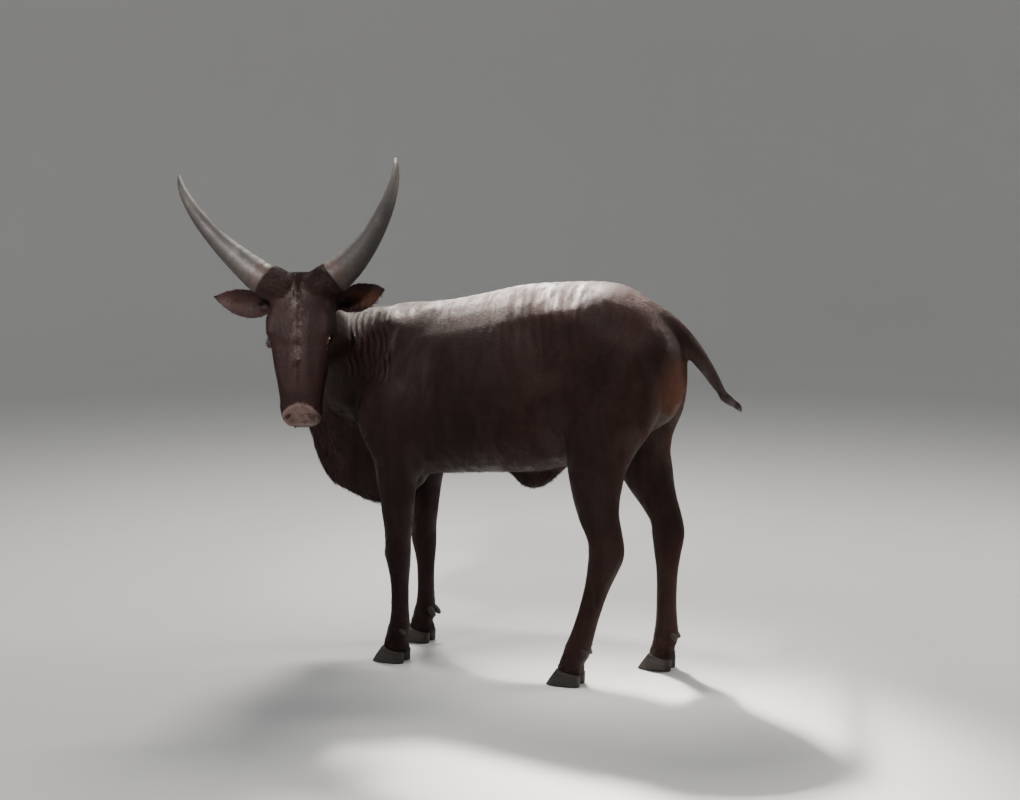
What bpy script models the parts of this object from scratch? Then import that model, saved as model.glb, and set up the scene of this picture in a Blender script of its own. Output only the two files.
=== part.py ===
"""A young Ankole-Watusi steer, life size, standing with its head turned back over its left side.

Metres, +Z up. The body faces -X, its left side is -Y, and the hooves stand on Z = 0. Each form of
flesh is a closed skin over rings that are carried along a path. The forms are joined, sculpted with
swells and furrows, and then parted with thin cuts into the parts that a person would name.
"""

import math

import bmesh
import bpy
import numpy as np
from mathutils import Matrix, Vector

GAP = 0.0003
# Points this close are one point.
MERGE = 0.00004
FRAME_SHIFT = Vector((0.24584, -0.07433, 0.0))

# The head: where the top of the poll is, how far the face is turned from straight ahead to the left,
# how far it points down, and how far the head leans over.
POLL = Vector((-0.648, -0.378, 1.332))
HEAD_TURN = math.radians(108.5)
FACE_DROP = math.radians(72.8)
HEAD_LEAN = math.radians(2.4)
HEAD_GRAIN = 0.0045
EYE = (0.230, 0.081, -0.040)
EYE_RADIUS = 0.0205
LID = 0.0042
HORN_CUT = 0.106
# Both horns sway a little to the right on the way up, and the right one, -1, is a little shorter. The
# left ear, 1, is held a little shorter and higher than the right one.
HORN_SWAY = 0.050
HORN_LOSS = {1.0: 0.0, -1.0: 0.028}
EAR_HANG = {1.0: 0.019, -1.0: 0.024}
EAR_REACH = {1.0: 0.91, -1.0: 1.14}
EAR_CUT = 0.108

# The body and its feet. The left hind foot is a stride ahead of the right one.
BODY_GRAIN = 0.009
BODY_TRIANGLES = 6000
HEAD_TRIANGLES = 1900
FORE_TOP = 0.600
KNEE = 0.375
HOCK = 0.418
FEET = {
    "left_fore": (-0.428, -0.130),
    "right_fore": (-0.458, 0.130),
    "left_hind": (0.212, -0.150),
    "right_hind": (0.428, 0.135),
}
CORONET_TOE = 0.058
CORONET_HEEL = 0.036

# Torso: place along the body, top, floor, half width, height of the widest place, and how square the
# upper and the lower half are.
TORSO = (
    (-0.560, 1.150, 0.700, 0.105, 0.90, 1.9, 2.0),
    (-0.500, 1.200, 0.600, 0.160, 0.88, 1.9, 2.0),
    (-0.420, 1.213, 0.610, 0.192, 0.87, 1.8, 2.1),
    (-0.340, 1.216, 0.628, 0.207, 0.87, 1.8, 2.2),
    (-0.240, 1.230, 0.640, 0.220, 0.87, 1.9, 2.2),
    (-0.140, 1.250, 0.650, 0.236, 0.87, 2.0, 2.2),
    (-0.040, 1.272, 0.656, 0.245, 0.88, 2.1, 2.2),
    (0.060, 1.283, 0.664, 0.250, 0.89, 2.2, 2.2),
    (0.140, 1.287, 0.688, 0.245, 0.92, 2.4, 2.1),
    (0.220, 1.290, 0.722, 0.232, 0.97, 2.5, 2.1),
    (0.300, 1.285, 0.755, 0.215, 1.00, 2.4, 2.0),
    (0.370, 1.255, 0.785, 0.195, 1.02, 2.2, 2.0),
    (0.435, 1.208, 0.820, 0.165, 1.02, 2.1, 2.0),
    (0.490, 1.150, 0.860, 0.125, 1.02, 2.0, 2.0),
    (0.520, 1.085, 0.930, 0.060, 1.01, 2.0, 2.0),
)

# Neck: centre, half width, and reach below and above the centre, from the chest to the skull.
NECK = (
    (-0.300, 0.000, 0.960, 0.150, 0.220, 0.200),
    (-0.420, 0.000, 0.965, 0.160, 0.240, 0.240),
    (-0.526, -0.024, 0.985, 0.150, 0.235, 0.225),
    (-0.628, -0.082, 1.030, 0.134, 0.225, 0.205),
    (-0.690, -0.162, 1.085, 0.118, 0.205, 0.170),
    (-0.704, -0.244, 1.150, 0.101, 0.162, 0.122),
    (-0.692, -0.310, 1.208, 0.084, 0.122, 0.097),
    (-0.668, -0.365, 1.240, 0.072, 0.085, 0.080),
)

# Dewlap: a thin flap from the throat down to the brisket: its free edge, the edge that is sunk in the
# neck and chest, and half its thickness.
DEWLAP = (
    (-0.730, -0.250, 1.025, -0.650, -0.220, 1.060, 0.020),
    (-0.785, -0.165, 0.930, -0.600, -0.110, 1.000, 0.022),
    (-0.808, -0.090, 0.830, -0.550, -0.040, 0.930, 0.024),
    (-0.812, -0.030, 0.735, -0.490, 0.000, 0.860, 0.027),
    (-0.796, -0.005, 0.645, -0.450, 0.000, 0.790, 0.029),
    (-0.748, 0.000, 0.574, -0.420, 0.000, 0.750, 0.030),
    (-0.662, 0.000, 0.535, -0.400, 0.000, 0.720, 0.031),
    (-0.570, 0.000, 0.510, -0.380, 0.000, 0.700, 0.032),
    (-0.475, 0.000, 0.525, -0.360, 0.000, 0.690, 0.030),
    (-0.390, 0.000, 0.590, -0.340, 0.000, 0.690, 0.024),
)

SHEATH = (
    (-0.080, 0.000, 0.670, 0.012, 0.020, 0.010),
    (-0.045, 0.000, 0.655, 0.022, 0.034, 0.026),
    (-0.005, 0.000, 0.636, 0.027, 0.044, 0.036),
    (0.040, 0.000, 0.640, 0.026, 0.048, 0.034),
    (0.095, 0.000, 0.680, 0.022, 0.044, 0.028),
    (0.150, 0.000, 0.715, 0.014, 0.030, 0.018),
)

# Fore leg: centre from the foot's own place, height, half width, and reach ahead and behind.
FORE_LEG = (
    (0.065, -0.030, 1.090, 0.040, 0.070, 0.070),
    (0.040, -0.005, 0.990, 0.058, 0.115, 0.105),
    (0.010, 0.014, 0.880, 0.070, 0.135, 0.130),
    (0.006, 0.016, 0.790, 0.074, 0.122, 0.128),
    (0.016, 0.012, 0.710, 0.068, 0.098, 0.104),
    (0.008, 0.008, 0.630, 0.059, 0.076, 0.072),
    (0.004, 0.003, 0.550, 0.050, 0.060, 0.062),
    (0.004, 0.000, 0.470, 0.043, 0.050, 0.053),
    (0.006, 0.000, 0.415, 0.041, 0.047, 0.044),
    (0.006, 0.000, 0.375, 0.043, 0.050, 0.043),
    (0.008, 0.000, 0.325, 0.037, 0.040, 0.039),
    (0.008, 0.000, 0.270, 0.030, 0.031, 0.034),
    (0.008, 0.000, 0.195, 0.029, 0.030, 0.033),
    (0.007, 0.000, 0.145, 0.032, 0.033, 0.037),
    (0.004, 0.000, 0.112, 0.036, 0.039, 0.041),
    (-0.006, 0.000, 0.080, 0.037, 0.036, 0.040),
    (-0.008, 0.000, 0.050, 0.0455, 0.042, 0.047),
    (-0.010, 0.000, 0.022, 0.0465, 0.044, 0.048),
)

# Hind legs, in the same way but from the middle of the body.
LEFT_HIND = (
    (0.350, -0.095, 1.120, 0.075, 0.110, 0.105),
    (0.345, -0.112, 1.020, 0.088, 0.155, 0.140),
    (0.330, -0.122, 0.900, 0.092, 0.158, 0.150),
    (0.303, -0.136, 0.800, 0.086, 0.138, 0.120),
    (0.284, -0.146, 0.720, 0.074, 0.098, 0.104),
    (0.282, -0.150, 0.640, 0.060, 0.078, 0.092),
    (0.295, -0.150, 0.560, 0.048, 0.068, 0.072),
    (0.316, -0.150, 0.495, 0.040, 0.060, 0.062),
    (0.325, -0.150, 0.440, 0.038, 0.063, 0.060),
    (0.314, -0.150, 0.390, 0.036, 0.056, 0.050),
    (0.291, -0.150, 0.320, 0.031, 0.042, 0.041),
    (0.264, -0.150, 0.235, 0.030, 0.036, 0.039),
    (0.241, -0.150, 0.160, 0.032, 0.038, 0.042),
    (0.226, -0.150, 0.115, 0.037, 0.042, 0.045),
    (0.211, -0.150, 0.082, 0.038, 0.037, 0.042),
    (0.204, -0.150, 0.050, 0.0455, 0.042, 0.047),
    (0.202, -0.150, 0.022, 0.0465, 0.044, 0.048),
)
RIGHT_HIND = (
    (0.370, 0.095, 1.120, 0.075, 0.110, 0.105),
    (0.362, 0.112, 1.020, 0.088, 0.155, 0.140),
    (0.355, 0.120, 0.900, 0.092, 0.158, 0.138),
    (0.347, 0.130, 0.800, 0.086, 0.140, 0.108),
    (0.348, 0.134, 0.720, 0.074, 0.108, 0.095),
    (0.370, 0.135, 0.640, 0.060, 0.082, 0.088),
    (0.403, 0.135, 0.570, 0.048, 0.064, 0.066),
    (0.430, 0.135, 0.510, 0.040, 0.056, 0.056),
    (0.440, 0.135, 0.460, 0.038, 0.060, 0.056),
    (0.439, 0.135, 0.405, 0.036, 0.052, 0.047),
    (0.436, 0.135, 0.330, 0.031, 0.038, 0.038),
    (0.434, 0.135, 0.240, 0.030, 0.034, 0.036),
    (0.434, 0.135, 0.165, 0.032, 0.036, 0.040),
    (0.434, 0.135, 0.118, 0.037, 0.041, 0.044),
    (0.425, 0.135, 0.082, 0.038, 0.037, 0.042),
    (0.420, 0.135, 0.050, 0.0455, 0.042, 0.047),
    (0.418, 0.135, 0.022, 0.0465, 0.044, 0.048),
)

TAIL = (
    (0.360, 0.000, 1.210, 0.050, 0.040, 0.050),
    (0.425, 0.000, 1.188, 0.042, 0.034, 0.044),
    (0.485, 0.006, 1.148, 0.036, 0.033, 0.038),
    (0.528, 0.035, 1.095, 0.032, 0.031, 0.034),
    (0.560, 0.090, 1.032, 0.027, 0.027, 0.028),
    (0.577, 0.165, 0.970, 0.022, 0.022, 0.022),
    (0.583, 0.250, 0.918, 0.018, 0.018, 0.018),
    (0.583, 0.340, 0.888, 0.015, 0.015, 0.015),
)
SWITCH = (
    (0.577, 0.165, 0.970, 0.0205, 0.0205, 0.0205),
    (0.583, 0.250, 0.918, 0.0180, 0.0180, 0.0180),
    (0.583, 0.340, 0.888, 0.0160, 0.0160, 0.0160),
    (0.575, 0.420, 0.872, 0.0130, 0.0130, 0.0130),
    (0.560, 0.490, 0.862, 0.0090, 0.0090, 0.0090),
    (0.543, 0.545, 0.855, 0.0040, 0.0040, 0.0040),
)
SWITCH_LOCKS = 24
# The places and directions where the tail leaves the rump and where its switch begins.
TAIL_ROOT = ((0.518, 0.026, 1.110), (0.58, 0.42, -0.70))
SWITCH_ROOT = ((0.580, 0.208, 0.942), (0.06, 0.80, -0.58))

# Head: distance down the face, half width, the face's own surface and the jaw's, and the depth of
# the widest place.
SKULL = (
    (0.003, 0.045, -0.040, -0.095, -0.070),
    (0.014, 0.080, -0.014, -0.150, -0.065),
    (0.050, 0.100, -0.002, -0.200, -0.075),
    (0.120, 0.107, 0.002, -0.232, -0.075),
    (0.170, 0.111, 0.004, -0.232, -0.065),
    (0.215, 0.105, 0.002, -0.217, -0.055),
    (0.260, 0.094, -0.003, -0.196, -0.058),
    (0.310, 0.087, -0.009, -0.173, -0.066),
    (0.370, 0.076, -0.016, -0.150, -0.074),
    (0.420, 0.069, -0.024, -0.141, -0.076),
    (0.455, 0.067, -0.033, -0.139, -0.078),
    (0.482, 0.061, -0.045, -0.134, -0.082),
    (0.498, 0.045, -0.058, -0.120, -0.086),
)
# Horn: down the face, out to the side, and out of the face, then the radius.
HORN = (
    (0.062, 0.040, -0.050, 0.053),
    (0.045, 0.078, -0.040, 0.055),
    (0.024, 0.118, -0.031, 0.0545),
    (-0.029, 0.178, -0.028, 0.0465),
    (-0.105, 0.246, -0.020, 0.0345),
    (-0.192, 0.302, -0.014, 0.0265),
    (-0.277, 0.340, -0.022, 0.018),
    (-0.337, 0.355, -0.038, 0.011),
    (-0.371, 0.359, -0.052, 0.0045),
)
# Ear: down the face, out to the side, out of the face, half height, depth of the cup, and thickness.
EAR = (
    (0.082, 0.100, -0.088, 0.022, 0.024, 0.022),
    (0.078, 0.118, -0.090, 0.028, 0.026, 0.016),
    (0.073, 0.142, -0.092, 0.041, 0.026, 0.008),
    (0.065, 0.172, -0.095, 0.048, 0.024, 0.006),
    (0.055, 0.205, -0.098, 0.046, 0.020, 0.006),
    (0.044, 0.240, -0.102, 0.034, 0.014, 0.005),
    (0.036, 0.268, -0.106, 0.018, 0.008, 0.004),
    (0.030, 0.286, -0.108, 0.005, 0.003, 0.003),
)


def head_frame():
    """Matrix that takes (down the face, to the left, out of the face) to the body's own axes."""
    gaze = Vector((-math.cos(HEAD_TURN), -math.sin(HEAD_TURN), 0.0))
    up = Vector((0.0, 0.0, 1.0))
    along = gaze * math.cos(FACE_DROP) - up * math.sin(FACE_DROP)
    outward = gaze * math.sin(FACE_DROP) + up * math.cos(FACE_DROP)
    lean = Matrix.Rotation(HEAD_LEAN, 3, outward)
    along = lean @ along
    turn = Matrix((along, outward.cross(along), outward)).transposed().to_4x4()
    return Matrix.Translation(POLL) @ turn


HEAD = head_frame()


def on_head(rows):
    """Places on the head, given along its own three directions, in the body's frame."""
    turn = np.array(HEAD)
    return np.asarray(rows) @ turn[:3, :3].T + turn[:3, 3]


def filled(table, fill):
    """A table with smooth rows put between its own, by a Catmull-Rom curve through every column."""
    table = np.asarray(table, dtype=float)
    before = np.vstack([2.0 * table[0] - table[1], table, 2.0 * table[-1] - table[-2]])
    rows = []
    for index in range(len(table) - 1):
        a, b, c, d = before[index:index + 4]
        for step in range(fill):
            t = step / fill
            rows.append(0.5 * (2.0 * b + (c - a) * t + (2.0 * a - 5.0 * b + 4.0 * c - d) * t ** 2
                               + (3.0 * b - a - 3.0 * c + d) * t ** 3))
    rows.append(table[-1])
    return np.array(rows)


def unit(vectors):
    """The same vectors, each one metre long."""
    return vectors / np.maximum(np.linalg.norm(vectors, axis=-1, keepdims=True), 1e-12)


def superellipse(sides, power):
    """Cosines and sines around a ring that is squarer than a circle where the power is over 2."""
    angle = 2.0 * np.pi * np.arange(sides) / sides
    c, s = np.cos(angle), np.sin(angle)
    return np.sign(c) * np.abs(c) ** (2.0 / power), np.sign(s) * np.abs(s) ** (2.0 / power)


def carried(table, across, sides=20, fill=3, power=2.2):
    """Rings carried along a path: centre, half width, and reach to the one side and the other."""
    table = filled(table, fill)
    centre = table[:, :3]
    tangent = unit(np.gradient(centre, axis=0))
    across = np.asarray(across, dtype=float)
    wide = unit(across - tangent * (tangent @ across)[:, None])
    deep = np.cross(tangent, wide)
    c, s = superellipse(sides, power)
    reach = np.where(s[None, :] > 0.0, table[:, 4:5], table[:, 5:6])
    return (centre[:, None] + wide[:, None] * (table[:, 3:4] * c)[..., None]
            + deep[:, None] * (reach * s)[..., None])


def flap(table, sides, fill):
    """Rings of a thin flap that hangs between its free edge and the edge sunk in the flesh."""
    table = filled(table, fill)
    edge, root, half = table[:, :3], table[:, 3:6], table[:, 6:7]
    centre = (edge + root) / 2.0
    reach = (edge - root) / 2.0
    across = unit(np.cross(np.gradient(centre, axis=0), reach))
    c, s = superellipse(sides, 2.4)
    return centre[:, None] + reach[:, None] * c[:, None] + across[:, None] * (half * s)[..., None]


def slices(table, sides, fill):
    """Upright rings across the body, each with its own top, floor, width and squareness."""
    rings = []
    for x, top, floor, wide, middle, upper, lower in filled(table, fill):
        cu, su = superellipse(sides, upper)
        cl, sl = superellipse(sides, lower)
        high = np.sin(2.0 * np.pi * np.arange(sides) / sides) >= 0.0
        y = wide * np.where(high, cu, cl)
        z = middle + np.where(high, (top - middle) * su, (middle - floor) * sl)
        rings.append(np.stack([np.full(sides, x), -y, z], axis=1))
    return np.array(rings)


def skull_rings(table, sides, fill):
    """Rings across the head, flatter at the face and narrower at the jaw."""
    rings = []
    for along, wide, face, jaw, middle in filled(table, fill):
        cu, su = superellipse(sides, 2.9)
        cl, sl = superellipse(sides, 1.75)
        high = np.sin(2.0 * np.pi * np.arange(sides) / sides) >= 0.0
        left = wide * np.where(high, cu, cl)
        out = middle + np.where(high, (face - middle) * su, (middle - jaw) * sl)
        rings.append(on_head(np.stack([np.full(sides, along), left, out], axis=1)))
    return np.array(rings)


def mirrored(rows):
    """The same rows on the head's other side."""
    rows = np.array(rows, dtype=float)
    rows[:, 1] *= -1.0
    return rows


def horn_rows(side):
    """The horn's table for one side, with its sway."""
    rows = np.array(HORN) if side > 0 else mirrored(HORN)
    rise = np.clip(rows[:, 0] / rows[-1, 0], 0.0, 1.0)
    rows[:, 1] -= HORN_SWAY * rise ** 1.4
    rows[:, 0] += HORN_LOSS[side] * rise
    return rows


def ear_rows(side):
    """The ear's table for one side, with its hang and reach."""
    rows = np.array(EAR)
    rows[:, 1] = rows[0, 1] + (rows[:, 1] - rows[0, 1]) * EAR_REACH[side]
    rows[:, 0] += EAR_HANG[side]
    rows[:, 1] *= side
    return rows


def mesh_object(name, verts, faces):
    """A new object in the scene from places and faces, with every face turned outward."""
    mesh = bpy.data.meshes.new(name)
    mesh.from_pydata([tuple(map(float, place)) for place in verts], [], faces)
    work = bmesh.new()
    work.from_mesh(mesh)
    bmesh.ops.recalc_face_normals(work, faces=work.faces)
    work.to_mesh(mesh)
    work.free()
    thing = bpy.data.objects.new(name, mesh)
    bpy.context.scene.collection.objects.link(thing)
    return thing


def skin(name, rings):
    """A closed skin over rings: bands of four-sided faces and an end at each side."""
    count, sides = rings.shape[:2]
    faces = []
    for i in range(count - 1):
        for k in range(sides):
            j = (k + 1) % sides
            faces.append((i * sides + k, i * sides + j, (i + 1) * sides + j, (i + 1) * sides + k))
    faces.append(tuple(range(sides - 1, -1, -1)))
    faces.append(tuple(range((count - 1) * sides, count * sides)))
    return mesh_object(name, rings.reshape(-1, 3), faces)


def remove(thing):
    """Take an object out of the file."""
    bpy.data.objects.remove(thing, do_unlink=True)


def baked(thing):
    """Apply the object's modifiers to its own mesh."""
    graph = bpy.context.evaluated_depsgraph_get()
    mesh = bpy.data.meshes.new_from_object(thing.evaluated_get(graph))
    thing.modifiers.clear()
    thing.data = mesh
    return thing


def joined(name, things):
    """One object that holds the meshes of several, which are removed."""
    work = bmesh.new()
    for thing in things:
        work.from_mesh(thing.data)
    mesh = bpy.data.meshes.new(name)
    work.to_mesh(mesh)
    work.free()
    for thing in things:
        remove(thing)
    whole = bpy.data.objects.new(name, mesh)
    bpy.context.scene.collection.objects.link(whole)
    return whole


def twin(thing, name):
    """A second object with its own copy of the mesh."""
    other = bpy.data.objects.new(name, thing.data.copy())
    bpy.context.scene.collection.objects.link(other)
    return other


def places(thing):
    """The object's vertices as an array."""
    flat = np.empty(len(thing.data.vertices) * 3)
    thing.data.vertices.foreach_get("co", flat)
    return flat.reshape(-1, 3)


def set_places(thing, rows):
    """Put the object's vertices at the rows of an array."""
    thing.data.vertices.foreach_set("co", np.ascontiguousarray(rows, dtype=float).ravel())
    thing.data.update()


def normals(thing):
    """The object's vertex normals as an array."""
    flat = np.empty(len(thing.data.vertices) * 3)
    thing.data.vertex_normals.foreach_get("vector", flat)
    return flat.reshape(-1, 3)


def weigh(thing, name, weights):
    """A vertex group with one weight for each vertex, in steps of a twentieth."""
    group = thing.vertex_groups.new(name=name)
    steps = np.round(np.clip(weights, 0.0, 1.0) * 20).astype(int)
    for step in range(1, 21):
        chosen = np.flatnonzero(steps == step)
        if len(chosen):
            group.add(chosen.tolist(), step / 20.0, 'REPLACE')
    return group.name


def remeshed(thing, grain):
    """One skin around everything in the object, with faces of about the given size."""
    remesh = thing.modifiers.new("Remesh", 'REMESH')
    remesh.mode = 'VOXEL'
    remesh.voxel_size = grain
    return baked(thing)


def smoothed(thing, weights, rounds):
    """Smooth the object where the weights are over zero."""
    smooth = thing.modifiers.new("Smooth", 'SMOOTH')
    smooth.factor = 0.5
    smooth.iterations = rounds
    smooth.vertex_group = weigh(thing, "soft", weights)
    baked(thing)
    thing.vertex_groups.clear()
    return thing


def sculpted(thing, strokes):
    """Move the surface out (or in, below zero) near each stroke, a line from one place to another."""
    rows = places(thing)
    out = normals(thing)
    move = np.zeros(len(rows))
    for start, end, reach, amount in strokes:
        start = np.asarray(start, dtype=float)
        line = np.asarray(end, dtype=float) - start
        t = np.clip((rows - start) @ line / max(line @ line, 1e-12), 0.0, 1.0)
        away = np.linalg.norm(rows - start - t[:, None] * line, axis=1) / reach
        move += amount * np.exp(-away ** 2)
    set_places(thing, rows + out * move[:, None])
    return thing


def thinned(thing, triangles):
    """Fewer faces, down to about the given count of triangles."""
    now = sum(len(face.vertices) - 2 for face in thing.data.polygons)
    fewer = thing.modifiers.new("Decimate", 'DECIMATE')
    fewer.ratio = min(1.0, triangles / now)
    return baked(thing)


def largest(thing):
    """Only the biggest closed surface of the object."""
    work = bmesh.new()
    work.from_mesh(thing.data)
    bmesh.ops.remove_doubles(work, verts=work.verts, dist=MERGE)
    work.verts.ensure_lookup_table()
    seen = set()
    best = []
    for vert in work.verts:
        if vert.index in seen:
            continue
        island = [vert]
        seen.add(vert.index)
        for at in island:
            for edge in at.link_edges:
                other = edge.other_vert(at)
                if other.index not in seen:
                    seen.add(other.index)
                    island.append(other)
        if len(island) > len(best):
            best = island
    keep = set(best)
    bmesh.ops.delete(work, geom=[v for v in work.verts if v not in keep], context='VERTS')
    work.to_mesh(thing.data)
    work.free()
    return thing


def combined(thing, other, operation):
    """A Boolean between two objects, applied; the other object is kept."""
    other.hide_render = True
    other.display_type = 'WIRE'
    cut = thing.modifiers.new("Cut", 'BOOLEAN')
    cut.operation = operation
    cut.object = other
    cut.solver = 'EXACT'
    return baked(thing)


def hull(name, corners):
    """The tightest closed shape around the corners."""
    work = bmesh.new()
    for corner in corners:
        work.verts.new(tuple(map(float, corner)))
    bmesh.ops.convex_hull(work, input=work.verts)
    bmesh.ops.delete(work, geom=[v for v in work.verts if not v.link_faces], context='VERTS')
    bmesh.ops.recalc_face_normals(work, faces=work.faces)
    mesh = bpy.data.meshes.new(name)
    work.to_mesh(mesh)
    work.free()
    thing = bpy.data.objects.new(name, mesh)
    bpy.context.scene.collection.objects.link(thing)
    return thing


def parted(whole, name, corners):
    """Part a node off: what lies within the corners leaves the whole, with a thin gap at the face.

    The first four corners lie on the cut, and the gap is taken from the whole's side of it.
    """
    corners = np.array([tuple(corner) for corner in corners], dtype=float)
    lid = corners[:4]
    outward = unit(np.cross(lid[1] - lid[0], lid[2] - lid[0]))
    if (corners[4:].mean(axis=0) - lid.mean(axis=0)) @ outward > 0.0:
        outward = -outward
    block = hull("block", corners)
    wider = corners.copy()
    wider[:4] += outward * GAP
    for end in (slice(0, 4), slice(4, 8)):
        away = corners[end] - corners[end].mean(axis=0)
        for edge in (unit(corners[end][1] - corners[end][0]), unit(corners[end][2] - corners[end][1])):
            wider[end] += np.sign(away @ edge)[:, None] * edge * GAP
    wide_block = hull("wide_block", wider)
    node = combined(twin(whole, name), block, 'INTERSECT')
    combined(whole, wide_block, 'DIFFERENCE')
    remove(block)
    remove(wide_block)
    return largest(node)


def prism(top, bottom, y_low, y_high):
    """Corners of a block between two lines in the X-Z plane; the first line carries the cut."""
    rows = []
    for line in (top, bottom):
        for x, z in line:
            rows.append((x, y_low, z))
        for x, z in reversed(line):
            rows.append((x, y_high, z))
    return rows


def both_sides(strokes):
    """The strokes and their mirror images across the body's middle."""
    other = [((a[0], -a[1], a[2]), (b[0], -b[1], b[2]), reach, amount)
             for a, b, reach, amount in strokes]
    return list(strokes) + other


def body_strokes():
    """Swells and furrows of the body: shoulder, loin, hip and pin bones, thighs and joints."""
    pairs = [
        ((-0.335, -0.075, 1.190), (-0.500, -0.170, 0.860), 0.035, 0.011),
        ((-0.505, -0.165, 0.850), (-0.515, -0.160, 0.820), 0.045, 0.012),
        ((-0.350, -0.205, 0.880), (-0.350, -0.205, 0.820), 0.080, 0.012),
        ((-0.255, -0.215, 1.050), (-0.285, -0.200, 0.720), 0.034, -0.012),
        ((-0.470, -0.140, 1.080), (-0.560, -0.150, 0.900), 0.045, -0.012),
        ((0.165, -0.200, 1.205), (0.200, -0.200, 1.195), 0.052, 0.014),
        ((0.480, -0.095, 1.120), (0.495, -0.095, 1.085), 0.045, 0.014),
        ((0.085, -0.215, 1.130), (0.125, -0.230, 1.020), 0.060, -0.018),
        ((0.330, -0.185, 1.190), (0.420, -0.150, 1.140), 0.050, -0.010),
        ((0.400, -0.175, 1.060), (0.400, -0.180, 1.020), 0.060, 0.008),
        ((0.150, -0.215, 0.900), (0.160, -0.190, 0.760), 0.040, -0.014),
        ((-0.455, -0.100, 0.660), (-0.455, -0.080, 0.640), 0.040, -0.006),
    ]
    folds = [
        ((-0.610, -0.165, 1.150), (-0.600, -0.130, 0.960), 0.016, 0.011),
        ((-0.585, -0.140, 1.150), (-0.575, -0.120, 0.940), 0.013, -0.010),
        ((-0.640, -0.190, 1.170), (-0.635, -0.165, 0.980), 0.013, -0.010),
        ((-0.655, -0.215, 1.180), (-0.655, -0.190, 1.020), 0.014, 0.008),
    ]
    strokes = both_sides(pairs) + folds
    for x, y in ((0.335, -0.185), (0.375, 0.180)):
        strokes.append(((x + 0.090, y, 0.960), (x + 0.060, y, 0.790), 0.028, -0.008))
        strokes.append(((x - 0.110, y, 0.960), (x - 0.105, y, 0.780), 0.050, 0.008))
    return strokes


def flesh_forms(with_roots):
    """The skins of the torso, neck, dewlap, sheath, legs, tail and head, each closed."""
    across = (0.0, 1.0, 0.0)
    forms = [
        skin("torso", slices(TORSO, 32, 3)),
        skin("neck", carried(NECK, (0.5, 1.0, 0.0), 24, 4, 2.2)),
        skin("dewlap", flap(DEWLAP, 20, 4)),
        skin("sheath", carried(SHEATH, across, 12, 3, 2.0)),
        skin("tail", carried(TAIL, (0.6, 1.0, 0.2), 12, 3, 2.0)),
    ]
    for side, foot in ((-1.0, FEET["left_fore"]), (1.0, FEET["right_fore"])):
        rows = [(foot[0] + x, foot[1] + side * y, z, wide, ahead, behind)
                for x, y, z, wide, ahead, behind in FORE_LEG]
        forms.append(skin("fore_leg", carried(swapped(rows), across, 20, 3, 2.1)))
    for rows in (LEFT_HIND, RIGHT_HIND):
        forms.append(skin("hind_leg", carried(swapped(rows), across, 20, 3, 2.1)))
    forms.append(skin("skull", skull_rings(SKULL, 28, 4)))
    for side in (1.0, -1.0) if with_roots else ():
        rows = horn_rows(side)[:4]
        centre = on_head(rows[:, :3])
        radius = rows[:, 3:4]
        forms.append(skin("boss", carried(np.hstack([centre, radius, radius, radius]),
                                          HEAD.to_3x3().col[2], 16, 2, 2.0)))
        turned = ear_rows(side)
        rows = np.vstack([turned[0] + (0.012, -0.04 * side, 0.006, 0, 0, 0), turned[:2]])
        centre = on_head(rows[:, :3] + np.array((0.0, 0.0, -0.012)))
        sizes = np.array([(0.026, 0.020, 0.020)] * 3)
        forms.append(skin("ear_root", carried(np.hstack([centre, sizes]),
                                              HEAD.to_3x3().col[0], 12, 2, 2.0)))
    return forms


def swapped(rows):
    """Leg rows with the reaches ahead and behind in the order that a path going down needs."""
    return [(x, y, z, wide, behind, ahead) for x, y, z, wide, ahead, behind in rows]


def flesh(name, grain, rounds, with_roots):
    """All the flesh as one sculpted skin with faces of the given size."""
    whole = remeshed(joined(name, flesh_forms(with_roots)), grain)
    rows = places(whole)
    far_from_head = np.clip((np.linalg.norm(rows - on_head((0.20, 0.0, -0.08)), axis=1) - 0.22) / 0.10,
                            0.25, 1.0)
    high = np.clip((rows[:, 2] - 0.10) / 0.45, 0.12, 1.0)
    smoothed(whole, far_from_head * high, rounds)
    return sculpted(whole, body_strokes())


def head_strokes():
    """Swells and furrows of the head, on both its sides."""
    one = [
        ((0.160, 0.092, -0.020), (0.200, 0.096, -0.014), 0.020, 0.010),
        ((0.235, 0.074, -0.060), (0.330, 0.060, -0.080), 0.016, 0.006),
        ((0.250, 0.050, -0.010), (0.360, 0.045, -0.030), 0.018, -0.004),
        ((0.130, 0.075, -0.165), (0.170, 0.078, -0.150), 0.045, 0.010),
        ((0.100, 0.105, -0.060), (0.120, 0.105, -0.055), 0.020, -0.006),
        ((0.330, 0.055, -0.110), (0.380, 0.055, -0.105), 0.020, -0.004),
        ((0.440, 0.050, -0.055), (0.460, 0.045, -0.050), 0.016, 0.005),
    ]
    strokes = []
    for start, end, reach, amount in one:
        for side in (1.0, -1.0):
            a = on_head((start[0], side * start[1], start[2]))
            b = on_head((end[0], side * end[1], end[2]))
            strokes.append((a, b, reach, amount))
    middle = [
        ((0.060, 0.0, 0.010), (0.110, 0.0, 0.010), 0.050, 0.006),
        ((0.000, 0.0, -0.030), (0.005, 0.0, -0.020), 0.045, -0.002),
    ]
    for start, end, reach, amount in middle:
        strokes.append((on_head(start), on_head(end), reach, amount))
    return strokes


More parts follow.
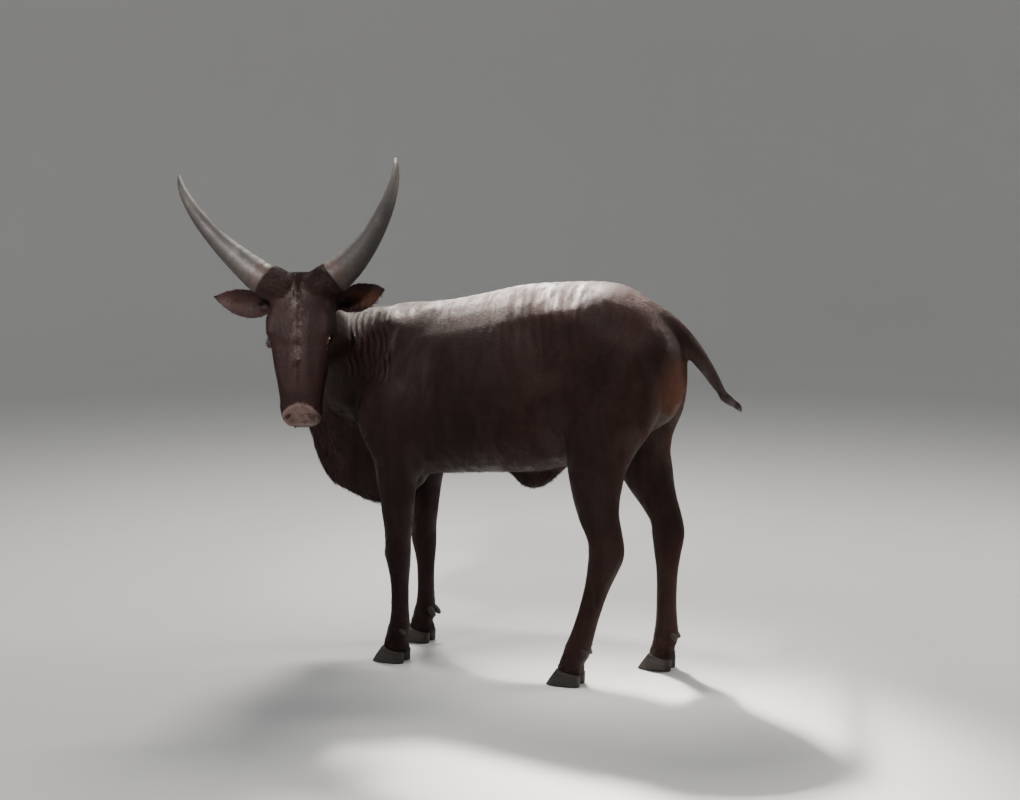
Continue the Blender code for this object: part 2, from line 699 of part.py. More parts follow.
def ball(name, centre, radius, turns, bands):
    """A sphere with its poles along the head's own sideways direction."""
    work = bmesh.new()
    bmesh.ops.create_uvsphere(work, u_segments=turns, v_segments=bands, radius=radius)
    mesh = bpy.data.meshes.new(name)
    work.to_mesh(mesh)
    work.free()
    tilt = HEAD.to_3x3().to_4x4() @ Matrix.Rotation(math.radians(90.0), 4, 'X')
    mesh.transform(Matrix.Translation(Vector(centre)) @ tilt)
    thing = bpy.data.objects.new(name, mesh)
    bpy.context.scene.collection.objects.link(thing)
    return thing


def eye_opening(side):
    """A tapering almond block that opens the lids, from the eye's centre outward."""
    centre = np.array((EYE[0], side * EYE[1], EYE[2]))
    gaze = unit(np.array((0.10, side * 1.0, 0.42)))
    along = unit(np.array((0.93, side * -0.26, 0.28)))
    along = unit(along - gaze * (along @ gaze))
    rise = np.cross(gaze, along)
    rows = []
    for depth, scale in ((0.004, 0.85), (0.060, 1.9)):
        for k in range(12):
            angle = 2.0 * np.pi * k / 12
            c, s = np.cos(angle), np.sin(angle)
            a = 0.0175 * scale * np.sign(c) * abs(c) ** 0.8
            b = 0.0115 * scale * np.sign(s) * abs(s) ** 1.25
            rows.append(centre + gaze * depth + along * a + rise * b)
    return skin("opening", on_head(np.array(rows)).reshape(2, 12, 3))


def nostril(side):
    """A slanting pit at the side of the muzzle."""
    work = bmesh.new()
    bmesh.ops.create_uvsphere(work, u_segments=12, v_segments=7, radius=1.0)
    mesh = bpy.data.meshes.new("nostril")
    work.to_mesh(mesh)
    work.free()
    turn = Matrix.Rotation(math.radians(-28.0 * side), 4, 'X') @ Matrix.Rotation(math.radians(35.0), 4, 'Y')
    size = Matrix.Diagonal((0.020, 0.0075, 0.012, 1.0))
    mesh.transform(HEAD @ Matrix.Translation((0.470, side * 0.040, -0.047)) @ turn @ size)
    thing = bpy.data.objects.new("nostril", mesh)
    bpy.context.scene.collection.objects.link(thing)
    return thing


def mouth_line():
    """A thin curved blade that draws the line of the mouth around the front of the muzzle."""
    rows = [(0.395, 0.060, -0.112), (0.430, 0.063, -0.104), (0.465, 0.060, -0.099),
            (0.488, 0.046, -0.097), (0.500, 0.024, -0.097), (0.503, 0.0, -0.097)]
    path = filled(rows + [tuple(row) for row in mirrored(rows[:-1])[::-1]], 2)
    middle = np.array((0.38, 0.0, -0.105))
    inward = unit((middle - path) * (1.0, 1.0, 0.0))
    rings = []
    for place, towards in zip(path, inward):
        outer = place - towards * 0.012
        inner = place + towards * 0.006
        rings.append([outer + (0, 0, 0.0009), outer - (0, 0, 0.0009),
                      inner - (0, 0, 0.0007), inner + (0, 0, 0.0007)])
    return skin("mouth", on_head(np.array(rings).reshape(-1, 3)).reshape(len(path), 4, 3))


def head_corners(spare=0.0):
    """The block that takes the head off the neck; the first four corners lie on the cut."""
    tip = np.array((-0.030, 0.0, -0.060))
    down = unit(np.array((0.745, 0.0, -0.670)))
    forward = np.array((-down[2], 0.0, down[0]))
    side = np.array((0.0, 1.0, 0.0))
    rows = []
    for depth, low, lean in ((-spare, 0.29, 0.35), (0.75, 0.81, 0.0)):
        for a, b in ((-0.60, -0.135), (-0.60, 0.135), (low, 0.135), (low, -0.135)):
            rows.append(tip + down * a + side * b + forward * (depth + lean * b))
    return on_head(np.array(rows))


def horn(name, side):
    """A horn that starts flat on its boss and tapers through a lyre's curve to the tip."""
    rows = horn_rows(side)
    centre = on_head(rows[:, :3])
    radius = rows[:, 3:4]
    whole = skin(name, carried(np.hstack([centre, radius, radius, radius]), HEAD.to_3x3().col[2],
                               12, 2, 2.0))
    block = hull("block", horn_plane(side, GAP))
    combined(whole, block, 'INTERSECT')
    remove(block)
    return largest(whole)


def horn_plane(side, shift):
    """Block beyond the sloping plane where a horn leaves the hair of its boss."""
    foot = np.array((0.029, side * HORN_CUT, -0.037))
    path = unit(np.array((-0.60, side * 0.79, 0.08)))
    across = np.array((0.0, 0.0, 1.0))
    across = unit(across - path * (across @ path))
    third = np.cross(path, across)
    rows = []
    for depth, half in ((shift, 0.074), (0.6, 0.45)):
        for a, b in ((-1, -1), (-1, 1), (1, 1), (1, -1)):
            rows.append(foot + path * depth + across * a * half + third * b * half)
    return on_head(np.array(rows))


def ear_plane(side, shift):
    """Block beyond the plane where an ear leaves its root."""
    foot = np.array((0.080 + EAR_HANG[side], side * EAR_CUT, -0.089))
    path = unit(np.array((-0.15, side * 0.98, -0.05)))
    across = np.array((0.0, 0.0, 1.0))
    across = unit(across - path * (across @ path))
    third = np.cross(path, across)
    rows = []
    for depth, half in ((shift, 0.038), (0.3, 0.12)):
        for a, b in ((-1, -1), (-1, 1), (1, 1), (1, -1)):
            rows.append(foot + path * depth + across * a * half + third * b * half)
    return on_head(np.array(rows))


def ear(name, side):
    """A cupped leaf of an ear, open to the front, that starts flat on its root."""
    table = filled(ear_rows(side), 2)
    centre = table[:, :3]
    tangent = unit(np.gradient(centre, axis=0))
    opening = np.array((0.25, 0.0, 1.0))
    front = unit(opening - tangent * (tangent @ opening)[:, None])
    high = np.cross(tangent, front) * -side
    s = np.linspace(-1.0, 1.0, 6)
    rings = []
    for row, ahead, up in zip(table, front, high):
        half, cup, thick = row[3:]
        outer = [row[:3] + up * half * v - ahead * cup * (1.0 - v * v) for v in s]
        inner = [row[:3] + up * half * v * 0.97 - ahead * (cup * (1.0 - v * v) - thick * (1.0 - 0.6 * v * v))
                 for v in s[::-1]]
        rings.append(outer + inner)
    whole = skin(name, on_head(np.array(rings).reshape(-1, 3)).reshape(len(table), 12, 3))
    block = hull("block", ear_plane(side, GAP))
    combined(whole, block, 'INTERSECT')
    remove(block)
    return largest(whole)


def coronet(foot, shift, depth):
    """Corners of the block below the sloping line where the claws begin."""
    x, y = foot
    toe = (x - 0.090, CORONET_TOE + 0.008 + shift)
    heel = (x + 0.070, CORONET_HEEL - 0.006 + shift)
    return prism([toe, heel], [(toe[0], depth), (heel[0], depth)], y - 0.07, y + 0.07)


CLAW = (
    (-0.0200, 0.0000, 0.0535, 0.0200),
    (-0.0200, 0.0035, 0.0565, 0.0228),
    (-0.0125, 0.0260, 0.0500, 0.0226),
    (-0.0040, 0.0480, 0.0425, 0.0212),
    (0.0030, 0.0720, 0.0360, 0.0190),
)


def claw(name, foot, side):
    """One claw of a foot: flat below, rounded at the toe, and cut off along the coronet."""
    c, s = superellipse(14, 2.3)
    rings = []
    for x, z, length, wide in CLAW:
        nose = np.where(c < 0.0, 1.0 - 0.22 * c ** 2, 1.0)
        rings.append(np.stack([x + length * c, side * 0.0242 + wide * s * nose + side * 0.005 * np.maximum(-c, 0.0),
                               np.full(14, z)], axis=1))
    rings = np.array(rings) + np.array((foot[0] - 0.004, foot[1], 0.0))
    whole = skin(name, rings)
    block = hull("block", coronet(foot, -GAP, -0.02))
    combined(whole, block, 'INTERSECT')
    remove(block)
    return largest(whole)


def dewclaw(name, foot, side, fetlock, leg):
    """A small blunt claw behind the fetlock, fitted to the leg with a thin gap."""
    x, z = fetlock
    start = np.array((x + 0.014, foot[1] + side * 0.015, z + 0.012))
    path = unit(np.array((0.66, side * 0.22, -0.72)))
    table = [(*(start + path * d), r, r * 0.8, r * 0.8)
             for d, r in ((0.0, 0.0125), (0.016, 0.0135), (0.028, 0.0115), (0.036, 0.0060))]
    whole = skin(name, carried(table, (0.0, 1.0, 0.0), 7, 1, 2.0))
    swollen = twin(leg, "swollen")
    set_places(swollen, places(swollen) + normals(swollen) * GAP * 1.5)
    combined(whole, swollen, 'DIFFERENCE')
    remove(swollen)
    return largest(whole)


def switch():
    """The tail's switch: a core with flat tapered locks sunk in it, joined in one union."""
    core = skin("tail_switch", carried(SWITCH, (0.6, 1.0, 0.2), 10, 2, 2.0))
    rng = np.random.default_rng(7)
    path = filled(SWITCH, 6)[:, :3]
    tangent = unit(np.gradient(path, axis=0))
    locks = bpy.data.collections.new("locks")
    for number in range(SWITCH_LOCKS):
        at = int(rng.uniform(0.18, 0.80) * len(path))
        turn = number * 2.4 + rng.uniform(-0.3, 0.3)
        side = unit(np.cross(tangent[at], (0.0, 0.0, 1.0)))
        other = np.cross(side, tangent[at])
        out = side * math.cos(turn) + other * math.sin(turn)
        length = rng.uniform(0.11, 0.17)
        width = rng.uniform(0.006, 0.009)
        flat = unit(np.cross(tangent[at], out))
        rings = []
        for t, grow in ((0.0, 0.8), (0.35, 1.0), (0.75, 0.65), (1.0, 0.12)):
            where = path[at] + tangent[at] * length * t + out * (0.007 + 0.011 * math.sin(1.9 * t))
            where = where + np.array((0.0, 0.0, -0.008)) * t ** 2
            a = flat * width * grow
            b = out * 0.0035 * grow
            rings.append([where + a, where + b, where - a, where - b])
        lock = skin("lock", np.array(rings))
        bpy.context.scene.collection.objects.unlink(lock)
        locks.objects.link(lock)
    union = core.modifiers.new("Union", 'BOOLEAN')
    union.operation = 'UNION'
    union.operand_type = 'COLLECTION'
    union.collection = locks
    union.solver = 'EXACT'
    union.use_self = False
    baked(core)
    for lock in list(locks.objects):
        remove(lock)
    bpy.data.collections.remove(locks)
    return largest(core)


SHADES = {
    "coat": ((0.020, 0.013, 0.010, 1.0), 0.55),
    "horn": ((0.230, 0.215, 0.200, 1.0), 0.45),
    "hoof": ((0.045, 0.038, 0.034, 1.0), 0.50),
    "eye": ((0.010, 0.008, 0.007, 1.0), 0.15),
}


def shaded(thing):
    """Give the object its own named material."""
    kind = "coat"
    for word, shade in (("horn", "horn"), ("claw", "hoof"), ("eye", "eye")):
        if word in thing.name:
            kind = shade
    material = bpy.data.materials.new(thing.name)
    material.use_nodes = True
    surface = material.node_tree.nodes["Principled BSDF"]
    colour, rough = SHADES[kind]
    surface.inputs["Base Color"].default_value = colour
    surface.inputs["Roughness"].default_value = rough
    thing.data.materials.clear()
    thing.data.materials.append(material)


def build_head(nodes):
    """The head with its bosses, lids, nostrils and mouth, and the eyes, horns and ears on it."""
    head = flesh("head", HEAD_GRAIN, 4, True)
    block = hull("block", head_corners(0.04))
    combined(head, block, 'INTERSECT')
    remove(block)
    thinned(sculpted(largest(head), head_strokes()), HEAD_TRIANGLES)
    block = hull("block", head_corners())
    combined(head, block, 'INTERSECT')
    remove(block)
    for side, word in ((1.0, "left"), (-1.0, "right")):
        centre = on_head((EYE[0], side * EYE[1], EYE[2]))
        lid = ball("lid", centre, EYE_RADIUS + LID, 16, 10)
        combined(head, lid, 'UNION')
        remove(lid)
        for cutter in (ball("socket", centre, EYE_RADIUS + GAP, 16, 10), eye_opening(side), nostril(side),
                       hull("horn_cut", horn_plane(side, 0.0)), hull("ear_cut", ear_plane(side, 0.0))):
            combined(head, cutter, 'DIFFERENCE')
            remove(cutter)
        nodes.append(ball("eye_" + word, centre, EYE_RADIUS, 16, 10))
        nodes.append(horn("horn_" + word, side))
        nodes.append(ear("ear_" + word, side))
    mouth = mouth_line()
    combined(head, mouth, 'DIFFERENCE')
    remove(mouth)
    nodes.append(largest(head))


def build_body(nodes):
    """The body parted into torso, neck, dewlap, sheath, tail and legs, with its claws and switch."""
    whole = thinned(flesh("torso", BODY_GRAIN, 10, False), BODY_TRIANGLES)
    corners = head_corners()
    remove(parted(whole, "head_part", corners))
    fetlocks = {"left_fore": (-0.428, 0.112), "right_fore": (-0.440, 0.112),
                "left_hind": (0.232, 0.115), "right_hind": (0.440, 0.118)}
    for place, foot in FEET.items():
        side = -1.0 if "left" in place else 1.0
        low, high = sorted((side * (0.060 if "fore" in place else 0.030), side * 0.32))
        if "fore" in place:
            upper = prism([(-0.58, FORE_TOP), (-0.25, FORE_TOP)], [(-0.60, -0.05), (-0.25, -0.05)],
                          low, high)
            joint = KNEE
        else:
            upper = prism([(0.150, 0.690), (0.66, 0.800)], [(0.02, -0.05), (0.66, -0.05)], low, high)
            joint = HOCK
        leg = parted(whole, place + "_upper_leg", upper)
        shin = parted(leg, place + "_lower_leg",
                      prism([(foot[0] - 0.35, joint), (foot[0] + 0.35, joint)],
                            [(foot[0] - 0.35, -0.05), (foot[0] + 0.35, -0.05)], low, high))
        block = hull("block", coronet(foot, 0.0, -0.05))
        combined(shin, block, 'DIFFERENCE')
        remove(block)
        largest(shin)
        nodes.extend([largest(leg), shin])
        for word, way in (("outer", side), ("inner", -side)):
            nodes.append(claw(place + "_" + word + "_claw", foot, way))
            nodes.append(dewclaw(place + "_" + word + "_dewclaw", foot, way, fetlocks[place], shin))
    nodes.append(parted(whole, "dewlap", [(-0.900, -0.230, 1.060), (-0.900, -0.060, 1.060),
                                          (-0.405, 0.060, 0.500), (-0.405, -0.060, 0.500),
                                          (-1.100, -0.260, 0.940), (-1.100, -0.040, 0.940),
                                          (-0.950, 0.080, 0.300), (-0.950, -0.080, 0.300)]))
    nodes.append(parted(whole, "neck", prism([(-0.395, 1.300), (-0.640, 0.600)],
                                             [(-1.000, 1.450), (-1.000, 0.600)], -0.45, 0.30)))
    nodes.append(parted(whole, "sheath", prism([(-0.100, 0.618), (0.150, 0.668)],
                                               [(-0.100, 0.560), (0.150, 0.560)], -0.05, 0.05)))
    tail = parted(whole, "tail", tail_corners(TAIL_ROOT[0], TAIL_ROOT[1], 0.052, (0.66, 0.60, 0.86), 0.25))
    block = hull("block", tail_corners(SWITCH_ROOT[0], SWITCH_ROOT[1], 0.10, (0.58, 0.80, 0.70), 0.45))
    combined(tail, block, 'DIFFERENCE')
    remove(block)
    nodes.append(largest(tail))
    hairs = switch()
    block = hull("block", tail_corners(SWITCH_ROOT[0], SWITCH_ROOT[1], 0.20, (0.58, 0.80, 0.70), 0.45, GAP))
    combined(hairs, block, 'INTERSECT')
    remove(block)
    nodes.append(largest(hairs))
    nodes.append(largest(whole))


def tail_corners(place, path, half, end, far_half, shift=0.0):
    """Block beyond a plane square to the tail's path; the first four corners lie on the cut."""
    path = unit(np.array(path))
    side = unit(np.cross(path, (0.0, 0.0, 1.0)))
    other = np.cross(side, path)
    rows = []
    for centre, size in ((np.array(place) + path * shift, half), (np.array(end), far_half)):
        for a, b in ((-1, -1), (-1, 1), (1, 1), (1, -1)):
            rows.append(centre + side * a * size + other * b * size)
    return rows


def main():
    """Build every node and leave nothing else in the scene."""
    for thing in list(bpy.data.objects):
        remove(thing)
    nodes = []
    build_head(nodes)
    build_body(nodes)
    counts = []
    for thing in nodes:
        set_places(thing, places(thing) + np.array(FRAME_SHIFT))
        thing.hide_render = False
        thing.display_type = 'TEXTURED'
        shaded(thing)
        counts.append(sum(len(face.vertices) - 2 for face in thing.data.polygons))
        print(thing.name, counts[-1])
    print("triangles", sum(counts))


main()
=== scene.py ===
"""The looks of a young Ankole-Watusi steer, life size: its skin, short coat, tufts, eyes, horns and claws.

Metres, +Z up. The body faces -X and its left side is -Y. The forms are worked out about the body's own
middle, as in the solids, and each finished piece is moved by SHIFT into the part's frame.
"""

import math

import bmesh
import bpy
import numpy as np
from bpy.props import FloatProperty, FloatVectorProperty, IntProperty, PointerProperty
from mathutils import Matrix, Vector


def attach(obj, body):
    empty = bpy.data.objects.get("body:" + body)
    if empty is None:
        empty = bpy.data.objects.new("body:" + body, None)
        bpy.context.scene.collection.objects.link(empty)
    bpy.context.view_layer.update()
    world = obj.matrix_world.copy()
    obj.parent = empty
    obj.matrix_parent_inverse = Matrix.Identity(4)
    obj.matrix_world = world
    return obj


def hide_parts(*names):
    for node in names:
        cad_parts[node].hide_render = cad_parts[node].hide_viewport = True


bl_info = {
    "name": "Ankole-Watusi Steer",
    "version": (1, 0, 0),
    "blender": (4, 5, 0),
    "location": "View3D > Sidebar > Steer",
    "description": "Builds the skin, coat, eyes, horns and claws of a life-size long-horned steer",
    "category": "Add Mesh",
}

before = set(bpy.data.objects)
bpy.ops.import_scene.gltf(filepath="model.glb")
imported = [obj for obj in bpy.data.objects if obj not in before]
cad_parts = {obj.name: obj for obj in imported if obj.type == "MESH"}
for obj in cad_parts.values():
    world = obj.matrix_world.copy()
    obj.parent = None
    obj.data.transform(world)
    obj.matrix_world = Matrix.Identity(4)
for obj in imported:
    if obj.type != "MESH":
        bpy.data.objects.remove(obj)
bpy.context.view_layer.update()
SHIFT = np.array((0.24584, -0.07433, 0.0))

# The head: where the top of the poll is, how far the face is turned from straight ahead to the left,
# how far it points down, and how far the head leans over.
POLL = Vector((-0.648, -0.378, 1.332))
HEAD_TURN = math.radians(108.5)
FACE_DROP = math.radians(72.8)
HEAD_LEAN = math.radians(2.4)
SIDES = {"left": 1.0, "right": -1.0}

# The eye: its centre in the head's own directions, its radius, how thick the lids are, and the half
# length and half height of the opening between them.
EYE = np.array((0.230, 0.081, -0.040))
EYE_RADIUS = 0.0205
LID = 0.0042
EYE_GAZE = np.array((0.10, 1.0, 0.42))
EYE_ALONG = np.array((0.93, -0.26, 0.28))
OPENING = (0.0178, 0.0100)

# A nostril's middle, and the line of the mouth from its corner to the middle of the lips, in the head's
# own directions.
NOSTRIL = np.array((0.476, 0.040, -0.052))
MOUTH = (
    (0.395, 0.060, -0.112),
    (0.430, 0.063, -0.104),
    (0.465, 0.060, -0.099),
    (0.488, 0.046, -0.097),
    (0.500, 0.024, -0.097),
    (0.503, 0.000, -0.097),
)

# Creases on the inside of the neck's bend: the level way that they follow each other, where along it
# they begin and end, how far apart they are, and how deep.
FOLD_WAY = np.array((0.9205, 0.3907, 0.0))
FOLD_SPAN = (-0.600, -0.475)
FOLD_SPACING = 0.0200
FOLD_DEPTH = 0.0021

# Where the hair of the poll ends on a horn, and the way that this edge faces, on the head's left side.
# Both horns sway a little to the right on the way up, and the right one is a little shorter. The left
# ear is a little shorter and higher than the right one, and the right ear's inside gets less of the
# reddish colour, as painted shade.
HORN_FOOT = (0.029, 0.107, -0.037)
HORN_WAY = (-0.60, 0.79, 0.08)
HORN_SWAY = 0.050
HORN_LOSS = {1.0: 0.0, -1.0: 0.028}
EAR_HANG = {1.0: 0.019, -1.0: 0.024}
EAR_REACH = {1.0: 0.91, -1.0: 1.14}
EAR_WARMTH_AND_SHADE = {1.0: 0.75, -1.0: 0.30}

# Where each foot stands, and how far along the body and how high its dewclaws are.
FEET = {
    "left_fore": (-0.428, -0.130),
    "right_fore": (-0.458, 0.130),
    "left_hind": (0.212, -0.150),
    "right_hind": (0.428, 0.135),
}
FETLOCKS = {
    "left_fore": (-0.428, 0.112),
    "right_fore": (-0.440, 0.112),
    "left_hind": (0.232, 0.115),
    "right_hind": (0.440, 0.118),
}
# The sloping line where the claws begin: its height at the toe and at the heel, how far the toe is ahead
# of the foot's own place, and how long the line is.
CORONET_TOE = 0.066
CORONET_HEEL = 0.030
CORONET_AHEAD = 0.090
CORONET_LENGTH = 0.160

# Torso: place along the body, top, floor, half width, height of the widest place, and how square the
# upper and the lower half are.
TORSO = (
    (-0.560, 1.150, 0.700, 0.105, 0.90, 1.9, 2.0),
    (-0.500, 1.200, 0.600, 0.160, 0.88, 1.9, 2.0),
    (-0.420, 1.213, 0.610, 0.192, 0.87, 1.8, 2.1),
    (-0.340, 1.216, 0.628, 0.207, 0.87, 1.8, 2.2),
    (-0.240, 1.230, 0.640, 0.220, 0.87, 1.9, 2.2),
    (-0.140, 1.250, 0.650, 0.236, 0.87, 2.0, 2.2),
    (-0.040, 1.272, 0.656, 0.245, 0.88, 2.1, 2.2),
    (0.060, 1.283, 0.664, 0.250, 0.89, 2.2, 2.2),
    (0.140, 1.287, 0.688, 0.245, 0.92, 2.4, 2.1),
    (0.220, 1.290, 0.722, 0.232, 0.97, 2.5, 2.1),
    (0.300, 1.285, 0.755, 0.215, 1.00, 2.4, 2.0),
    (0.370, 1.255, 0.785, 0.195, 1.02, 2.2, 2.0),
    (0.435, 1.208, 0.820, 0.165, 1.02, 2.1, 2.0),
    (0.490, 1.150, 0.860, 0.125, 1.02, 2.0, 2.0),
    (0.520, 1.085, 0.930, 0.060, 1.01, 2.0, 2.0),
)

# Neck: centre, half width, and reach below and above the centre, from the chest to the skull.
NECK = (
    (-0.300, 0.000, 0.960, 0.150, 0.220, 0.200),
    (-0.420, 0.000, 0.965, 0.160, 0.240, 0.240),
    (-0.526, -0.024, 0.985, 0.150, 0.235, 0.225),
    (-0.628, -0.082, 1.030, 0.134, 0.225, 0.205),
    (-0.690, -0.162, 1.085, 0.118, 0.205, 0.170),
    (-0.704, -0.244, 1.150, 0.101, 0.162, 0.122),
    (-0.692, -0.310, 1.208, 0.084, 0.122, 0.097),
    (-0.668, -0.365, 1.240, 0.072, 0.085, 0.080),
)

# Dewlap: its free edge, the edge that is sunk in the neck and chest, and half its thickness.
DEWLAP = (
    (-0.730, -0.250, 1.025, -0.650, -0.220, 1.060, 0.020),
    (-0.785, -0.165, 0.930, -0.600, -0.110, 1.000, 0.022),
    (-0.808, -0.090, 0.830, -0.550, -0.040, 0.930, 0.024),
    (-0.812, -0.030, 0.735, -0.490, 0.000, 0.860, 0.027),
    (-0.796, -0.005, 0.645, -0.450, 0.000, 0.790, 0.029),
    (-0.748, 0.000, 0.574, -0.420, 0.000, 0.750, 0.030),
    (-0.662, 0.000, 0.535, -0.400, 0.000, 0.720, 0.031),
    (-0.570, 0.000, 0.510, -0.380, 0.000, 0.700, 0.032),
    (-0.475, 0.000, 0.525, -0.360, 0.000, 0.690, 0.030),
    (-0.390, 0.000, 0.590, -0.340, 0.000, 0.690, 0.024),
)

# Sheath: in the same way as the neck.
SHEATH = (
    (-0.080, 0.000, 0.670, 0.012, 0.020, 0.010),
    (-0.045, 0.000, 0.655, 0.022, 0.034, 0.026),
    (-0.005, 0.000, 0.636, 0.027, 0.044, 0.036),
    (0.040, 0.000, 0.640, 0.026, 0.048, 0.034),
    (0.095, 0.000, 0.680, 0.022, 0.044, 0.028),
    (0.150, 0.000, 0.715, 0.014, 0.030, 0.018),
)

# Fore leg: centre from the foot's own place, height, half width, and reach ahead and behind.
FORE_LEG = (
    (0.065, -0.030, 1.090, 0.040, 0.070, 0.070),
    (0.040, -0.005, 0.990, 0.058, 0.115, 0.105),
    (0.010, 0.014, 0.880, 0.070, 0.135, 0.130),
    (0.006, 0.016, 0.790, 0.074, 0.122, 0.128),
    (0.016, 0.012, 0.710, 0.068, 0.098, 0.104),
    (0.008, 0.008, 0.630, 0.059, 0.076, 0.072),
    (0.004, 0.003, 0.550, 0.050, 0.060, 0.062),
    (0.004, 0.000, 0.470, 0.043, 0.050, 0.053),
    (0.006, 0.000, 0.415, 0.041, 0.047, 0.044),
    (0.006, 0.000, 0.375, 0.043, 0.050, 0.043),
    (0.008, 0.000, 0.325, 0.037, 0.040, 0.039),
    (0.008, 0.000, 0.270, 0.030, 0.031, 0.034),
    (0.008, 0.000, 0.195, 0.029, 0.030, 0.033),
    (0.007, 0.000, 0.145, 0.032, 0.033, 0.037),
    (0.004, 0.000, 0.112, 0.036, 0.039, 0.041),
    (-0.006, 0.000, 0.080, 0.037, 0.036, 0.040),
    (-0.008, 0.000, 0.050, 0.0455, 0.042, 0.047),
    (-0.010, 0.000, 0.022, 0.0465, 0.044, 0.048),
)

# Hind legs, in the same way but from the middle of the body.
LEFT_HIND = (
    (0.350, -0.095, 1.120, 0.075, 0.110, 0.105),
    (0.345, -0.112, 1.020, 0.088, 0.155, 0.140),
    (0.330, -0.122, 0.900, 0.092, 0.158, 0.150),
    (0.303, -0.136, 0.800, 0.086, 0.138, 0.120),
    (0.284, -0.146, 0.720, 0.074, 0.098, 0.104),
    (0.282, -0.150, 0.640, 0.060, 0.078, 0.092),
    (0.295, -0.150, 0.560, 0.048, 0.068, 0.072),
    (0.316, -0.150, 0.495, 0.040, 0.060, 0.062),
    (0.325, -0.150, 0.440, 0.038, 0.063, 0.060),
    (0.314, -0.150, 0.390, 0.036, 0.056, 0.050),
    (0.291, -0.150, 0.320, 0.031, 0.042, 0.041),
    (0.264, -0.150, 0.235, 0.030, 0.036, 0.039),
    (0.241, -0.150, 0.160, 0.032, 0.038, 0.042),
    (0.226, -0.150, 0.115, 0.037, 0.042, 0.045),
    (0.211, -0.150, 0.082, 0.038, 0.037, 0.042),
    (0.204, -0.150, 0.050, 0.0455, 0.042, 0.047),
    (0.202, -0.150, 0.022, 0.0465, 0.044, 0.048),
)
RIGHT_HIND = (
    (0.370, 0.095, 1.120, 0.075, 0.110, 0.105),
    (0.362, 0.112, 1.020, 0.088, 0.155, 0.140),
    (0.355, 0.120, 0.900, 0.092, 0.158, 0.138),
    (0.347, 0.130, 0.800, 0.086, 0.140, 0.108),
    (0.348, 0.134, 0.720, 0.074, 0.108, 0.095),
    (0.370, 0.135, 0.640, 0.060, 0.082, 0.088),
    (0.403, 0.135, 0.570, 0.048, 0.064, 0.066),
    (0.430, 0.135, 0.510, 0.040, 0.056, 0.056),
    (0.440, 0.135, 0.460, 0.038, 0.060, 0.056),
    (0.439, 0.135, 0.405, 0.036, 0.052, 0.047),
    (0.436, 0.135, 0.330, 0.031, 0.038, 0.038),
    (0.434, 0.135, 0.240, 0.030, 0.034, 0.036),
    (0.434, 0.135, 0.165, 0.032, 0.036, 0.040),
    (0.434, 0.135, 0.118, 0.037, 0.041, 0.044),
    (0.425, 0.135, 0.082, 0.038, 0.037, 0.042),
    (0.420, 0.135, 0.050, 0.0455, 0.042, 0.047),
    (0.418, 0.135, 0.022, 0.0465, 0.044, 0.048),
)

# Tail: in the same way as the neck.
TAIL = (
    (0.360, 0.000, 1.210, 0.050, 0.040, 0.050),
    (0.425, 0.000, 1.188, 0.042, 0.034, 0.044),
    (0.485, 0.006, 1.148, 0.036, 0.033, 0.038),
    (0.528, 0.035, 1.095, 0.032, 0.031, 0.034),
    (0.560, 0.090, 1.032, 0.027, 0.027, 0.028),
    (0.577, 0.165, 0.970, 0.022, 0.022, 0.022),
    (0.583, 0.250, 0.918, 0.016, 0.016, 0.016),
    (0.583, 0.340, 0.888, 0.011, 0.011, 0.011),
    (0.575, 0.420, 0.872, 0.007, 0.007, 0.007),
)

# Switch: the middle line of its long hair out to the last tips, and how far the hair spreads from it.
SWITCH = (
    (0.577, 0.165, 0.970, 0.0190),
    (0.583, 0.250, 0.918, 0.0165),
    (0.583, 0.340, 0.888, 0.0130),
    (0.576, 0.420, 0.870, 0.0095),
    (0.571, 0.490, 0.852, 0.0086),
    (0.564, 0.545, 0.838, 0.0066),
    (0.552, 0.620, 0.820, 0.0020),
)

# Head: distance down the face, half width, the face's own surface and the jaw's, and the depth of
# the widest place.
SKULL = (
    (0.003, 0.045, -0.040, -0.095, -0.070),
    (0.014, 0.080, -0.014, -0.150, -0.065),
    (0.050, 0.100, -0.002, -0.200, -0.075),
    (0.120, 0.107, 0.002, -0.232, -0.075),
    (0.170, 0.111, 0.004, -0.232, -0.065),
    (0.215, 0.105, 0.002, -0.217, -0.055),
    (0.260, 0.094, -0.003, -0.196, -0.058),
    (0.310, 0.087, -0.009, -0.173, -0.066),
    (0.370, 0.076, -0.016, -0.150, -0.074),
    (0.420, 0.069, -0.024, -0.141, -0.076),
    (0.455, 0.067, -0.033, -0.139, -0.078),
    (0.482, 0.061, -0.045, -0.134, -0.082),
    (0.498, 0.045, -0.058, -0.120, -0.086),
)

# Horn: down the face, out to the side, and out of the face, then the radius.
HORN = (
    (0.062, 0.040, -0.050, 0.053),
    (0.045, 0.078, -0.040, 0.055),
    (0.024, 0.118, -0.031, 0.0545),
    (-0.029, 0.178, -0.028, 0.0465),
    (-0.105, 0.246, -0.020, 0.0345),
    (-0.192, 0.302, -0.014, 0.0265),
    (-0.277, 0.340, -0.022, 0.018),
    (-0.337, 0.355, -0.038, 0.011),
    (-0.371, 0.359, -0.052, 0.0045),
)

# Ear: down the face, out to the side, out of the face, half height, depth of the cup, and thickness.
EAR = (
    (0.082, 0.070, -0.088, 0.020, 0.020, 0.024),
    (0.080, 0.105, -0.089, 0.024, 0.022, 0.022),
    (0.078, 0.118, -0.090, 0.028, 0.026, 0.017),
    (0.073, 0.142, -0.092, 0.041, 0.026, 0.011),
    (0.065, 0.172, -0.095, 0.048, 0.024, 0.009),
    (0.055, 0.205, -0.098, 0.046, 0.020, 0.009),
    (0.044, 0.240, -0.102, 0.034, 0.014, 0.008),
    (0.036, 0.268, -0.106, 0.018, 0.008, 0.007),
    (0.030, 0.286, -0.108, 0.005, 0.003, 0.004),
)

